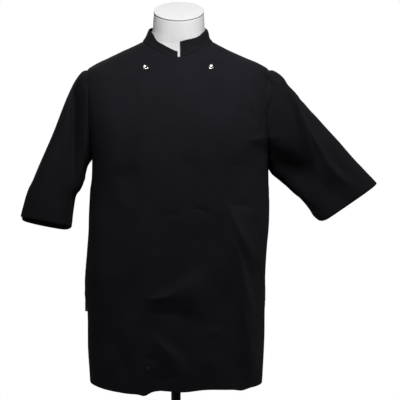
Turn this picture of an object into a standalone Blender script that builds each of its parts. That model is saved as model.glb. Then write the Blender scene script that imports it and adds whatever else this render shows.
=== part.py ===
"""A black short-sleeved work shirt, cut like a double-breasted kitchen jacket, on a limbless dress form.

Metres, +Z up. The front faces -Y and the wearer's left is +X. The origin is the middle of the stand's underside.
The tables below are in millimetres, with X measured from the shirt's centre front and Z from the floor.
"""

import math

import bmesh
import bpy
import numpy as np
from mathutils import Matrix, Vector

MM = 0.001
CENTRE_FRONT_X = 5.0  # the form leans this far to its left on its pole

CLOTH = 1.5  # wall of the shirt
COLLAR_CLOTH = 2.0  # two plies and their stiffening
SEAM, COLLAR_SEAM = 0.5, 0.9  # gaps kept between pieces that are sewn together
LAYER = CLOTH + 0.6  # how far the upper front lies off the lower one
HEM_LAYER, HEM_LAYER_ROWS = 1.1, (1.5, 3.0)  # how much further off it hangs at the hem, and over which rows

# Sections of the shirt's body from hem to neck seam, as a closed line round the form. Its right, left, front and
# back points have their own heights and their own distances from the middle. "square" is 2 for an ellipse and more
# for a squarer section. "lap" is where the upper front's free edge crosses this section.
BODY_COLUMNS = (
    "right_z", "left_z", "front_z", "back_z", "right", "left", "front", "back", "square", "lap",
)
BODY = (
    (673, 670, 671, 673, 203.5, 194.5, 146, 142, 2.50, -71),
    (740, 738, 739, 740, 208.0, 198.0, 147, 141, 2.50, -74),
    (803, 802, 803, 803, 210.0, 199.5, 148, 140, 2.50, -76),
    (857, 857, 857, 857, 211.0, 199.5, 148, 139, 2.50, -78),
    (910, 910, 910, 910, 212.0, 201.0, 148, 138, 2.50, -80),
    (965, 965, 965, 965, 209.5, 204.5, 148, 137, 2.50, -83),
    (1023, 1023, 1023, 1023, 205.0, 208.0, 148, 137, 2.50, -85),
    (1080, 1080, 1080, 1080, 200.5, 207.5, 149, 138, 2.55, -87),
    (1131, 1122, 1127, 1130, 197.5, 207.5, 150, 140, 2.60, -88),
    (1182, 1160, 1172, 1176, 196.0, 207.5, 150, 143, 2.80, -89),
    (1228, 1214, 1216, 1224, 199.0, 208.0, 147, 146, 3.00, -90),
    (1278, 1270, 1260, 1272, 204.0, 209.0, 140, 147, 3.10, -90),
    (1326, 1324, 1300, 1318, 209.0, 212.0, 128, 143, 3.00, -90),
    (1362, 1362, 1331, 1354, 212.0, 213.0, 116, 135, 2.70, -90),
    (1386, 1386, 1355, 1382, 207.5, 208.5, 105, 124, 2.40, -90),
    (1401, 1401, 1371, 1402, 186.0, 186.5, 97, 114, 2.10, -90),
    (1414, 1414, 1385, 1420, 158.5, 155.5, 89, 104, 2.05, -88),
    (1428, 1428, 1396, 1436, 129.5, 123.5, 82, 94, 2.00, -85),
    (1441, 1441, 1407, 1449, 101.0, 97.5, 76, 84, 2.00, -76),
    (1451, 1451, 1417, 1459, 80.5, 79.5, 69, 76, 2.00, -62),
)
HEM, VENT_TOP, UNDERARM, SHOULDER_POINT, NECK_SEAM = 0.0, 3.0, 9.0, 14.0, 19.0  # rows of BODY
UNDER_EDGE = 0.94  # the hidden edge of the lower front mirrors the upper one, this much nearer the middle
VENT_GAP = (2.4, 9.0)  # between front and back at the top and the foot of a side vent
VENT_END = 0.06  # part of a row over which the vent closes to the side seam
VENT_TUCK, VENT_TUCK_ANGLE = 2.0, math.radians(7)  # the vent's edges draw in this much, over this far round
ARMHOLE_SPREAD = math.radians(18)  # how far the armhole reaches to the front and to the back of the side
# The hem hangs lower than those rows near some places: by how much, at which X, and how far each way.
RIGHT_DIPS = ((11.8, -104.0, 56.0), (6.2, -74.0, 12.0), (3.0, -165.0, 35.0))
LEFT_DIPS = ((2.5, -50.0, 60.0), (4.5, 14.0, 32.0), (2.0, 130.0, 45.0), (4.0, 146.0, 14.0))

VENT_ROWS, WAIST_ROWS, ARMHOLE_ROWS, SHOULDER_ROWS = 5, 12, 10, 9
# Columns of points: beside a side edge, from there to the overlap, across the overlap, and across the back. Those
# beside the edge crowd together where the armhole cuts in, and the rest keep their places.
EDGE_COLUMNS, SIDE_COLUMNS, LAP_COLUMNS, BACK_COLUMNS = 5, 7, 9, 11
EDGE_ANGLE = math.radians(31)

# The largest folds, as the front or the back shows them: both ends of the crest or trough, its half width, and how
# far it stands out of the cloth. Troughs are negative.
FOLD_COLUMNS = ("x0", "z0", "x1", "z1", "width", "rise")
FRONT_FOLDS = (
    (115, 1086, 140, 1020, 13, 6.0),
    (140, 1020, 170, 968, 12, 6.0),
    (138, 975, 154, 919, 12, 6.0),
    (154, 919, 177, 856, 12, 6.0),
    (142, 1080, 186, 1010, 11, -4.5),
    (169, 966, 188, 886, 10, -4.5),
    (-70, 875, 84, 962, 13, 6.0),
    (-30, 886, 92, 810, 13, 4.5),
    (-68, 855, 38, 808, 15, -5.0),
    (-80, 820, -20, 766, 15, 5.5),
    (-20, 766, 48, 682, 15, 5.5),
    (-16, 810, 44, 722, 15, -4.0),
    (147, 850, 150, 674, 16, 4.5),
    (-101, 958, -99, 765, 16, -4.0),
    (-145, 792, -142, 674, 18, 3.5),
    (176, 1290, 196, 1236, 12, -4.0),
)
BACK_FOLDS = (
    (-140, 1230, -60, 1090, 22, -4.5),
    (135, 1240, 70, 1110, 20, -4.0),
    (-120, 1000, -150, 700, 22, 4.5),
    (-40, 960, -62, 690, 20, -4.0),
    (44, 1010, 58, 700, 22, 4.0),
    (128, 940, 120, 676, 20, -4.5),
    (0, 1290, -8, 1130, 26, 3.0),
)

# Sections of a sleeve from just outside the armhole to its hem: its outer and its inner edge as the front shows
# them, and its depth to the front and the back of the line between them. X runs outwards.
SLEEVE_COLUMNS = ("outer_x", "outer_z", "inner_x", "inner_z", "front", "back", "middle_y")
RIGHT_SLEEVE = (
    (220, 1381, 207, 1166, 65, 65, 0),
    (232, 1366, 211, 1152, 65, 66, 0),
    (243, 1345, 213, 1142, 64, 66, -1),
    (260, 1305, 214, 1133, 63, 66, -2),
    (282, 1250, 218, 1123, 62, 66, -3),
    (306, 1195, 224, 1112, 62, 65, -4),
    (328, 1143, 234, 1099, 62, 64, -5),
    (346, 1096, 242, 1072, 61, 63, -6),
    (361, 1050, 246, 1027, 60, 62, -7),
)
LEFT_SLEEVE = (
    (223, 1383, 216, 1148, 61, 61, 0),
    (241, 1369, 229, 1137, 60, 61, 0),
    (252, 1352, 243, 1125, 58, 60, 0),
    (284, 1314, 259, 1110, 54, 57, -1),
    (322, 1272, 276, 1096, 50, 53, -2),
    (361, 1230, 292, 1081, 46, 49, -3),
    (398, 1189, 304, 1066, 43, 46, -4),
    (429, 1157, 313, 1053, 41, 43, -5),
    (455, 1129, 326, 1044, 40, 41, -6),
)
RIGHT_SLEEVE_FOLDS = (
    (-232, 1345, -228, 1160, 14, -13.0),
    (-252, 1335, -262, 1190, 20, 4.0),
    (-300, 1150, -322, 1060, 22, 3.5),
    (-268, 1120, -262, 1035, 12, -3.0),
)
LEFT_SLEEVE_FOLDS = (
    (251, 1350, 288, 1260, 13, 8.0),
    (288, 1260, 326, 1198, 13, 8.0),
    (326, 1198, 392, 1128, 12, 7.0),
    (208, 1196, 304, 1150, 15, -14.0),
    (247, 1310, 282, 1200, 15, -6.0),
    (395, 1180, 430, 1140, 18, -3.0),
)
SLEEVE_BACK_FOLDS = (
    (250, 1330, 300, 1180, 18, 5.0),
    (225, 1240, 290, 1150, 18, -8.0),
)
SLEEVE_SQUARE = 2.5  # a sleeve's sections are flatter than ellipses, as the body's are
SLEEVE_STEPS = 2  # rings made for each row of a sleeve table, but for the first
# How much lower the sleeve's hem hangs in the middle of its front and its back, on the shirt's right and left.
HEM_BOWS = {-1: (-9.0, 18.0), 1: (-3.0, 14.0)}
HEM_BOW_ROWS = (5.2, 8.0)  # rows of its table over which it gets there

# The stand collar's upper edge: the angle from centre front, and its height on the shirt's left and right.
COLLAR_TOP_COLUMNS = ("degrees", "left_z", "right_z")
COLLAR_TOP = (
    (2, 1451, 1430),
    (10, 1453.5, 1434),
    (21, 1456.5, 1440),
    (34, 1459, 1447.5),
    (44, 1462, 1452.5),
    (51, 1465, 1459),
    (60, 1471.5, 1470),
    (74, 1478, 1477),
    (90, 1480, 1479),
    (135, 1486, 1486),
    (180, 1491, 1491),
)
COLLAR_TOP_SIDE, COLLAR_TOP_FRONT, COLLAR_TOP_BACK = 66.5, 60.0, 66.0
COLLAR_ENDS = (math.radians(5.0), math.radians(360.2))
COLLAR_HOLLOW = 1.2  # how far the band's face curves in between its seam and its upper edge
COLLAR_COLUMNS, COLLAR_ROWS = 36, 4

# The form under the shirt: how far it lies in from the shirt's face, for the rows of BODY from the hem up.
FORM_IN = (24, 24, 22, 24, 29, 33, 34, 32, 28, 23, 18, 14, 10.5, 7, 4.0, 3.0, 2.8, 2.7, 2.7, 4.0)
FORM_FOOT = 1.5  # row of BODY where the form ends, 95 mm above the hem
FOOT_SHARE, FOOT_DROP = 0.93, 7.0  # the foot's flat face against the ring above it, and how far below it lies
FORM_AROUND, FORM_TRUNK_ROWS = 28, 10
# Its neck above the shirt's neck seam.
NECK_COLUMNS = ("z", "half_width", "front", "back", "tilt")
NECK = (
    (1461, 66.0, 54.5, 62.5, 0.25),
    (1480, 59.5, 54.0, 58.5, 0.28),
    (1496, 58.5, 53.5, 56.0, 0.34),
    (1518, 57.0, 53.0, 53.0, 0.396),
)
NECK_SHIFT = 2.3  # the neck stands this far to the left of the shirt's centre front
CAP_THICK = 4.0
CAP_RADIUS = 57.5

STUD_RADIUS, STUD_HEIGHT = 6.4, 2.6
# Where the press studs show: X, Z and size against the upper two.
STUD_COLUMNS = ("name", "x", "z", "size")
STUDS = (("stud_upper_right", -72.5, 1394.0, 1.0), ("stud_upper_left", 76.0, 1394.0, 1.0),
         ("stud_lower_right", -65.0, 722.0, 0.75))

TAB_HEIGHT, TAB_OUT, TAB_THICK = 23.0, 5.0, 1.0
TAB_ROWS = 0.43  # rows of BODY that the tab's height spans

POLE_RADIUS = 11.0
BASE_RADIUS, BASE_THICK = 190.0, 10.0
BOSS_RADIUS, BOSS_HEIGHT = 24.0, 34.0
TURNED_STEPS, STUD_STEPS = 36, 20


# Reading the tables


def between(table, at):
    """All columns of a table at a fractional row, on smooth curves that don't swing past the rows."""
    rows = np.asarray(table, float)
    last = len(rows) - 1
    at = min(max(at, 0.0), float(last))
    low = min(int(at), last - 1)
    steps = np.diff(rows, axis=0)

    def slope(row):
        before, after = steps[max(row - 1, 0)], steps[min(row, last - 1)]
        steepest = 3 * np.minimum(np.abs(before), np.abs(after))
        average = (before + after) / 2
        return np.where(before * after > 0, np.sign(average) * np.minimum(np.abs(average), steepest), 0)

    t = at - low
    start, end = rows[low], rows[low + 1]
    return (
        start * (1 + 2 * t) * (1 - t) ** 2
        + slope(low) * t * (1 - t) ** 2
        + end * t * t * (3 - 2 * t)
        + slope(low + 1) * t * t * (t - 1)
    )


def eased(low, high, value):
    """0 below low, 1 above high, and smooth between."""
    t = np.clip((value - low) / (high - low), 0, 1)
    return t * t * (3 - 2 * t)


def relief(points, folds):
    """How far the folds near each point stand out, measured in the plane that the front view shows."""
    seen = points[:, [0, 2]]
    height = np.zeros(len(points))
    for x0, z0, x1, z1, width, rise in folds:
        start = np.array((x0, z0), float)
        run = np.array((x1 - x0, z1 - z0), float)
        along = np.clip((seen - start) @ run / (run @ run), 0, 1)
        away = np.linalg.norm(seen - start - along[:, None] * run, axis=1)
        height += rise * np.exp(-((away / width) ** 2))
    return height


# The shirt's body as a surface: an angle round it, from 0 at centre front to 90 degrees at the left side, and a row


def body_points(angles, row):
    angles = np.asarray(angles, float)
    right_z, left_z, front_z, back_z, right, left, front, back, square, _ = between(BODY, row)
    sine, cosine = np.sin(angles), np.cos(angles)
    half = np.where(sine < 0, right, left)
    depth = np.where(cosine > 0, front, back)
    side_z = np.where(sine < 0, right_z, left_z)
    middle_z = np.where(cosine > 0, front_z, back_z)
    reach = (np.abs(sine / half) ** square + np.abs(cosine / depth) ** square) ** (-1 / square)
    height = middle_z + (side_z - middle_z) * sine**2
    return np.stack((reach * sine, -reach * cosine, height), axis=-1)


def unit(vectors):
    return vectors / np.linalg.norm(vectors, axis=-1, keepdims=True)


def body_frame(angles, row):
    """Points of the surface, with the ways that lead out of it and up it."""
    small = 0.004
    angles = np.asarray(angles, float)
    around = body_points(angles + small, row) - body_points(angles - small, row)
    upward = body_points(angles, row + small) - body_points(angles, row - small)
    return body_points(angles, row), unit(np.cross(around, upward)), unit(upward)


def body_face(angles, row, lift=0.0, dips=()):
    """Points of the cloth's outer face with its folds, and the way out of it."""
    points, outward, _ = body_frame(angles, row)
    for lowest, near_x, spread in dips:
        points[..., 2] -= lowest * np.exp(-(((points[..., 0] - near_x) / spread) ** 2)) * (1 - eased(0.0, 2.0, row))
    cosine = np.cos(np.asarray(angles, float))
    folds = np.where(cosine > 0, relief(points, FRONT_FOLDS), relief(points, BACK_FOLDS))
    folds = folds * eased(0.0, 0.35, np.abs(cosine))
    from_side = np.arcsin(np.clip(np.abs(cosine), 0, 1))
    tuck = VENT_TUCK * np.exp(-((from_side / VENT_TUCK_ANGLE) ** 2)) * (1 - eased(VENT_TOP - 0.25, VENT_TOP, row))
    return points + outward * (lift + folds - tuck)[..., None], outward


def angle_at(x, row):
    """The angle at which a front section crosses X."""
    low, high = (-1.5, 0.0) if x < 0 else (0.0, 1.5)
    for _ in range(40):
        middle = (low + high) / 2
        if body_points(middle, row)[0] < x:
            low = middle
        else:
            high = middle
    return (low + high) / 2


def seam_angle(row):
    """How far a panel stops short of the side or shoulder line."""
    half = between(BODY, row)[4]
    if row < VENT_TOP:
        gap = VENT_GAP[1] + (VENT_GAP[0] - VENT_GAP[1]) * row / VENT_TOP
    else:
        gap = SEAM
    return gap / 2 / half


def armhole_row(step):
    return UNDERARM + (SHOULDER_POINT - UNDERARM) * (1 - math.cos(math.pi * step / ARMHOLE_ROWS)) / 2


def side_angle(row):
    """The angle of a panel's side edge, which is the side seam, then the armhole, then the shoulder seam."""
    part = (row - UNDERARM) / (SHOULDER_POINT - UNDERARM)
    open_by = ARMHOLE_SPREAD * math.sqrt(max(0.0, 1 - (2 * part - 1) ** 2)) if 0 < part < 1 else 0.0
    return math.pi / 2 - max(open_by, seam_angle(row))


def side_columns(inner, count, row):
    """Angles from an inner column out to the panel's side edge on the shirt's left."""
    near_edge = math.pi / 2 - EDGE_ANGLE
    kept = np.linspace(inner, near_edge, count)
    return np.concatenate((kept, np.linspace(near_edge, side_angle(row), EDGE_COLUMNS)[1:]))


BODY_ROWS = (
    list(np.linspace(HEM, VENT_TOP - VENT_END, VENT_ROWS))
    + list(np.linspace(VENT_TOP + VENT_END, UNDERARM, WAIST_ROWS))
    + [armhole_row(step) for step in range(1, ARMHOLE_ROWS)]
    + list(SHOULDER_POINT + (NECK_SEAM - SHOULDER_POINT) * np.linspace(0, 1, SHOULDER_ROWS) ** 1.3)
)


# Making the solids


def placed(points):
    """Table points, in millimetres from the centre front, as Blender's coordinates."""
    return [Vector(((x + CENTRE_FRONT_X) * MM, y * MM, z * MM)) for x, y, z in points]


def collection_of(name):
    made = bpy.data.collections.new(name)
    bpy.context.scene.collection.children.link(made)
    return made


def material(name, colour, roughness, metallic=0.0):
    made = bpy.data.materials.new(name)
    made.use_nodes = True
    shader = made.node_tree.nodes["Principled BSDF"]
    shader.inputs["Base Color"].default_value = (*colour, 1.0)
    shader.inputs["Roughness"].default_value = roughness
    shader.inputs["Metallic"].default_value = metallic
    return made


def add_object(name, mesh, finish, home):
    made = bpy.data.objects.new(name, mesh)
    made.data.materials.append(finish)
    home.objects.link(made)
    made.data.shade_smooth()
    made.data.set_sharp_from_angle(angle=math.radians(50))
    return made


def wall(name, outer, inner, finish, home, tube=False):
    """A closed wall between two grids of points: a panel, or a tube that is open at its first and last rows."""
    made = bmesh.new()
    faces = [[[made.verts.new(point) for point in placed(row)] for row in grid] for grid in (outer, inner)]
    rows, columns = len(outer), len(outer[0])
    last = columns if tube else columns - 1
    for row in range(rows - 1):
        for column in range(last):
            after = (column + 1) % columns
            for grid in faces:
                made.faces.new((grid[row][column], grid[row][after], grid[row + 1][after], grid[row + 1][column]))
    near, far = faces
    for row in (0, rows - 1):
        for column in range(last):
            after = (column + 1) % columns
            made.faces.new((near[row][column], near[row][after], far[row][after], far[row][column]))
    if not tube:
        for column in (0, columns - 1):
            for row in range(rows - 1):
                made.faces.new((near[row][column], near[row + 1][column], far[row + 1][column], far[row][column]))
    bmesh.ops.recalc_face_normals(made, faces=made.faces)
    mesh = bpy.data.meshes.new(name)
    made.to_mesh(mesh)
    made.free()
    return add_object(name, mesh, finish, home)


def skin(name, rings, finish, home):
    """A closed solid over a stack of rings, with a flat face at each end."""
    made = bmesh.new()
    loops = [[made.verts.new(point) for point in placed(ring)] for ring in rings]
    around = len(loops[0])
    for low, high in zip(loops, loops[1:]):
        for column in range(around):
            after = (column + 1) % around
            made.faces.new((low[column], low[after], high[after], high[column]))
    made.faces.new(loops[0])
    made.faces.new(loops[-1])
    bmesh.ops.recalc_face_normals(made, faces=made.faces)
    mesh = bpy.data.meshes.new(name)
    made.to_mesh(mesh)
    made.free()
    return add_object(name, mesh, finish, home)


def turned(name, profile, finish, home, steps=TURNED_STEPS):
    """A solid turned about Z from a profile of (radius, height) in millimetres, listed from the top down."""
    made = bmesh.new()
    corners = [made.verts.new((radius * MM, 0, height * MM)) for radius, height in profile]
    for first, second in zip(corners, corners[1:]):
        made.edges.new((first, second))
    mesh = bpy.data.meshes.new(name)
    made.to_mesh(mesh)
    made.free()
    solid = add_object(name, mesh, finish, home)
    screw = solid.modifiers.new("turned", "SCREW")
    screw.steps = screw.render_steps = steps
    screw.use_merge_vertices = True
    screw.merge_threshold = 0.00001
    screw.use_smooth_shade = True
    return solid


# The shirt's pieces


def overlap(row):
    """Angles shared by both fronts, from the upper front's free edge to the lower front's hidden one."""
    lap_x = between(BODY, row)[9]
    return np.linspace(angle_at(lap_x, row), angle_at(-UNDER_EDGE * lap_x, row), LAP_COLUMNS)


def front_right(finish, home):
    """The lower front, whose inner part runs on behind the upper one."""
    outer, inner = [], []
    for row in BODY_ROWS:
        shared = overlap(row)
        alone = -side_columns(-shared[0], SIDE_COLUMNS, row)[::-1]
        face, outward = body_face(np.concatenate((alone[:-1], shared)), row, dips=RIGHT_DIPS)
        outer.append(face)
        inner.append(face - CLOTH * outward)
    return wall("front_right", outer, inner, finish, home)


def upper_lift(angles, row):
    """How far the upper front stands off the body's surface: one layer as far as the lower front reaches."""
    past = np.degrees(angles - overlap(row)[-1])
    return (LAYER + HEM_LAYER * (1 - eased(*HEM_LAYER_ROWS, row))) * (1 - eased(3.0, 18.0, past))


def front_left(finish, home):
    """The upper front, which laps past the middle to its free edge on the shirt's right."""
    outer, inner = [], []
    for row in BODY_ROWS:
        shared = overlap(row)
        angles = np.concatenate((shared, side_columns(shared[-1], SIDE_COLUMNS, row)[1:]))
        face, outward = body_face(angles, row, upper_lift(angles, row), LEFT_DIPS)
        outer.append(face)
        inner.append(face - CLOTH * outward)
    return wall("front_left", outer, inner, finish, home)


def back(finish, home):
    outer, inner = [], []
    for row in BODY_ROWS:
        half = side_columns(0.0, BACK_COLUMNS // 2 + 1, row)
        face, outward = body_face(math.pi - np.concatenate((half[::-1], -half[1:])), row)
        outer.append(face)
        inner.append(face - CLOTH * outward)
    return wall("back", outer, inner, finish, home)


def butt(edge, across, outward, towards, thick, seam=SEAM, on_top=1.0):
    """The outer and inner corners of a wall's end, square to the way it leaves and clear of the edge it joins.

    The end lies on the joined piece's face as far as on_top says, or else beyond its edge.
    """
    angle = math.atan2(towards @ outward, towards @ across)
    onward = across * math.cos(angle) + outward * math.sin(angle)
    inward = across * math.sin(angle) - outward * math.cos(angle)
    if angle <= math.pi / 2:
        outer = edge + seam * onward - on_top * thick * math.sin(angle) * inward
    else:
        outer = edge + seam * outward - thick * math.sin(angle) * across
    return outer, outer + thick * inward


def armhole(side):
    """The armhole's edge from the shoulder down the front and up the back, with the ways out of the body there."""
    edge, outward = [], []
    for step in range(2 * ARMHOLE_ROWS):
        at_front = step <= ARMHOLE_ROWS
        row = armhole_row(abs(ARMHOLE_ROWS - step))
        turn = side_angle(row) if 0 < step % ARMHOLE_ROWS else math.pi / 2
        angle = turn if at_front else math.pi - turn
        face, normal = body_face(np.array([side * angle]), row)
        edge.append(face[0])
        outward.append(normal[0])
    return np.array(edge), np.array(outward)


def sleeve(name, side, table, folds, finish, home):
    """A tube from the armhole to its hem, on rings worked out from the table's rows."""
    turns = np.linspace(0, 2 * math.pi, 2 * ARMHOLE_ROWS, endpoint=False)
    reach, depth = np.cos(turns), np.sin(turns)
    reach, depth = (np.array((reach, depth))
                    / (np.abs(reach) ** SLEEVE_SQUARE + np.abs(depth) ** SLEEVE_SQUARE) ** (1 / SLEEVE_SQUARE))
    rings = []
    for step in range((len(table) - 1) * SLEEVE_STEPS + 1):
        outer_x, outer_z, inner_x, inner_z, front, rear, middle_y = between(table, step / SLEEVE_STEPS)
        x = (outer_x + inner_x) / 2 + (outer_x - inner_x) / 2 * reach
        z = (outer_z + inner_z) / 2 + (outer_z - inner_z) / 2 * reach
        y = middle_y - np.where(depth > 0, front, rear) * depth
        ring = np.stack((side * x, y, z), axis=-1)
        rear_view = ring * (side, 1, 1)
        height = np.where(y < middle_y, relief(ring, folds), relief(rear_view, SLEEVE_BACK_FOLDS))
        ring[:, 1] -= height * np.sin(turns)
        rings.append(ring)
    down = unit(rings[-1].mean(axis=0) - rings[-2].mean(axis=0))
    in_front, behind = HEM_BOWS[side]
    bow = np.where(depth > 0, in_front, -behind) * depth
    for step, ring in enumerate(rings):
        ring += bow[:, None] * down * eased(*HEM_BOW_ROWS, step / SLEEVE_STEPS)
    edge, outward = armhole(side)
    centre = edge.mean(axis=0)
    starts = []
    for corner, normal, target in zip(edge, outward, rings[0]):
        across = centre - corner
        across = unit(across - (across @ normal) * normal)
        starts.append(butt(corner, across, normal, target - corner, CLOTH))
    outer = [np.array([start[0] for start in starts])] + rings
    inner = [np.array([start[1] for start in starts])]
    for index in range(1, len(outer)):
        before, after = outer[index - 1], outer[min(index + 1, len(outer) - 1)]
        around = np.roll(outer[index], -1, axis=0) - np.roll(outer[index], 1, axis=0)
        normal = unit(np.cross(around, after - before)) * side
        inner.append(outer[index] - CLOTH * normal)
    return wall(name, outer, inner, finish, home, tube=True)


def collar(finish, home):
    """A band that stands on the neck seam from one side of the centre front round to the other."""
    angles = np.linspace(*COLLAR_ENDS, COLLAR_COLUMNS)
    seam, outward, upward = body_frame(angles, NECK_SEAM)
    degrees = np.degrees(angles)
    turned_by = np.where(degrees > 180, 360 - degrees, degrees)
    known, left_z, right_z = np.array(COLLAR_TOP, float).T
    top_z = np.where(degrees > 180, np.interp(turned_by, known, right_z), np.interp(turned_by, known, left_z))
    sine, cosine = np.sin(angles), np.cos(angles)
    depth = np.where(cosine > 0, COLLAR_TOP_FRONT, COLLAR_TOP_BACK)
    reach = ((sine / COLLAR_TOP_SIDE) ** 2 + (cosine / depth) ** 2) ** -0.5
    # An end that is cut low keeps the same lean, so its upper edge lies nearer the seam.
    full = np.interp(turned_by, known, left_z) - seam[:, 2]
    share = (top_z - seam[:, 2]) / full
    top = np.stack((reach * sine, -reach * cosine, top_z), axis=-1)
    top[:, :2] = seam[:, :2] + (top[:, :2] - seam[:, :2]) * share[:, None]
    starts = [
        butt(*corner, COLLAR_CLOTH, COLLAR_SEAM, on_top=0.0) for corner in zip(seam, upward, outward, top - seam)
    ]
    base = np.array([start[0] for start in starts])
    base_inner = np.array([start[1] for start in starts])
    outer, inner = [base], [base_inner]
    around = np.gradient(base, axis=0)
    out = unit(np.cross(around, top - base))
    for row in range(1, COLLAR_ROWS):
        t = row / (COLLAR_ROWS - 1)
        face = base + (top - base) * t - out * COLLAR_HOLLOW * math.sin(math.pi * t)
        outer.append(face)
        inner.append(face - COLLAR_CLOTH * out)
    return wall("collar", outer, inner, finish, home)


def stud(name, x, z, size, finish, home):
    """A capped press stud: a raised rim round a dished middle, seated square on the cloth."""
    row = min(BODY_ROWS, key=lambda tried: abs(body_points(angle_at(x, tried), tried)[2] - z))
    low, high = row - 1.0, row + 1.0
    for _ in range(40):
        row = (low + high) / 2
        if body_points(angle_at(x, row), row)[2] < z:
            low = row
        else:
            high = row
    angles = np.array([angle_at(x, row)])
    face, outward = body_face(angles, row, upper_lift(angles, row), LEFT_DIPS)
    radius, height = STUD_RADIUS * size, STUD_HEIGHT * size
    profile = (
        (0, height * 0.62), (radius * 0.45, height * 0.66), (radius * 0.66, height * 0.94), (radius * 0.8, height),
        (radius * 0.95, height * 0.72), (radius, height * 0.3), (radius * 0.96, 0), (0, 0),
    )
    made = turned(name, profile, finish, home, STUD_STEPS)
    # Folds slope the cloth a little under the stud, so it is seated just off the face.
    seat = placed(face + outward * (SEAM + 0.1))[0]
    made.matrix_world = Matrix.Translation(seat) @ Vector(outward[0]).to_track_quat("Z", "Y").to_matrix().to_4x4()
    return made


def side_tab(finish, home):
    """The bare tab of tape sewn into the top of the right side vent."""
    row = VENT_TOP - VENT_END
    front_edge = -side_angle(row)
    face, outward = body_face(np.array([front_edge]), row)
    low_face, _ = body_face(np.array([front_edge]), row - TAB_ROWS)
    x, y, z = face[0]
    low_x, low_y, low_z = low_face[0]
    bpy.ops.mesh.primitive_cube_add(size=1.0)
    made = bpy.context.object
    made.name = made.data.name = "side_tab"
    for owner in made.users_collection:
        owner.objects.unlink(made)
    home.objects.link(made)
    made.data.transform(Matrix.Diagonal(((TAB_OUT + CLOTH) * MM, TAB_THICK * MM, TAB_HEIGHT * MM, 1.0)))
    middle_x = (x + low_x) / 2 - (TAB_OUT - CLOTH) / 2 + CENTRE_FRONT_X
    middle_y = max(y, low_y) + SEAM + TAB_THICK / 2
    made.location = (middle_x * MM, middle_y * MM, (z - 0.5 - TAB_HEIGHT / 2) * MM)
    made.data.materials.append(finish)
    return made


# The form and its stand


def form(finish, home):
    """The limbless form: the shirt's own sections drawn in, closed at the shoulders, then the neck."""
    angles = np.linspace(0, 2 * math.pi, FORM_AROUND, endpoint=False)
    rings = []
    trunk = list(np.linspace(FORM_FOOT, UNDERARM, FORM_TRUNK_ROWS))
    for row in trunk + [row for row in BODY_ROWS if row > UNDERARM]:
        inwards = np.interp(row, range(len(FORM_IN)), FORM_IN)
        points, outward, _ = body_frame(angles, row)
        rings.append(points - inwards * outward)
    foot = rings[0] * (FOOT_SHARE, FOOT_SHARE, 1) - (0, 0, FOOT_DROP)
    foot[:, 2] = foot[:, 2].min()
    rings.insert(0, foot)
    for z, half_width, front, rear, tilt in NECK:
        x, y = half_width * np.sin(angles), -np.where(np.cos(angles) > 0, front, rear) * np.cos(angles)
        rings.append(np.stack((x + NECK_SHIFT, y, z + tilt * y), axis=-1))
    return skin("form", rings, finish, home), foot[0, 2]


def neck_cap(finish, home):
    """The round plate on the neck's sloping cut."""
    z, _, _, _, tilt = NECK[-1]
    made = turned("neck_cap", ((0, CAP_THICK), (CAP_RADIUS - 1.2, CAP_THICK), (CAP_RADIUS, CAP_THICK - 1.2),
                               (CAP_RADIUS, 0), (0, 0)), finish, home)
    slope = math.atan(tilt)
    seat = Vector(((CENTRE_FRONT_X + NECK_SHIFT) * MM, 0, (z + SEAM / math.cos(slope)) * MM))
    made.matrix_world = Matrix.Translation(seat) @ Matrix.Rotation(slope, 4, "X")
    return made


def stand(form_foot, finish, home):
    """A plain round base with a boss, and the pole that carries the form."""
    base = turned("base", (
        (0, BOSS_HEIGHT), (POLE_RADIUS + 3, BOSS_HEIGHT), (POLE_RADIUS + 5, BOSS_HEIGHT - 4),
        (BOSS_RADIUS, BASE_THICK + 2), (BOSS_RADIUS + 6, BASE_THICK), (BASE_RADIUS - 4, BASE_THICK),
        (BASE_RADIUS, BASE_THICK - 4), (BASE_RADIUS, 0), (0, 0)), finish, home)
    low, high = BOSS_HEIGHT + 0.3, form_foot - 0.3
    bpy.ops.mesh.primitive_cylinder_add(vertices=TURNED_STEPS, radius=POLE_RADIUS * MM, depth=(high - low) * MM)
    pole = bpy.context.object
    pole.name = pole.data.name = "pole"
    for owner in pole.users_collection:
        owner.objects.unlink(pole)
    home.objects.link(pole)
    pole.location = (0, 0, (low + high) / 2 * MM)
    pole.data.materials.append(finish)
    return base, pole


def build():
    for old in list(bpy.data.objects):
        bpy.data.objects.remove(old, do_unlink=True)
    home = collection_of("work_shirt_on_dress_form")
    black_twill = material("black twill", (0.012, 0.012, 0.015), 0.85)
    grey_tape = material("grey tape", (0.30, 0.30, 0.31), 0.8)
    polished_nickel = material("polished nickel", (0.72, 0.71, 0.69), 0.18, 1.0)
    white_jersey = material("white jersey", (0.72, 0.72, 0.73), 0.7)
    white_plate = material("white plate", (0.78, 0.78, 0.78), 0.45)
    black_paint = material("black paint", (0.012, 0.012, 0.012), 0.4)
    front_right(black_twill, home)
    front_left(black_twill, home)
    back(black_twill, home)
    sleeve("sleeve_right", -1, RIGHT_SLEEVE, RIGHT_SLEEVE_FOLDS, black_twill, home)
    sleeve("sleeve_left", 1, LEFT_SLEEVE, LEFT_SLEEVE_FOLDS, black_twill, home)
    collar(black_twill, home)
    for name, x, z, size in STUDS:
        stud(name, x, z, size, polished_nickel, home)
    side_tab(grey_tape, home)
    _, form_foot = form(white_jersey, home)
    neck_cap(white_plate, home)
    stand(form_foot, black_paint, home)


build()
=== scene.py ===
# %% [markdown]
# # A black work shirt on a dress form
#
# The shirt is cut like a kitchen jacket: two fronts that lap over each other, a plain back, short set-in
# sleeves and a stand collar, closed by press studs. A white limbless form on a pole wears it. Each cell
# below makes one piece or one finish, and says what the real thing is and why it was made this way.
#
# The solids of the model are loaded first. They fix every size, and each piece made here stands in for one
# of them.

# %% Load the fixed frame
import math

import bmesh
import bpy
import numpy as np
from mathutils import Matrix, Vector, kdtree


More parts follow.
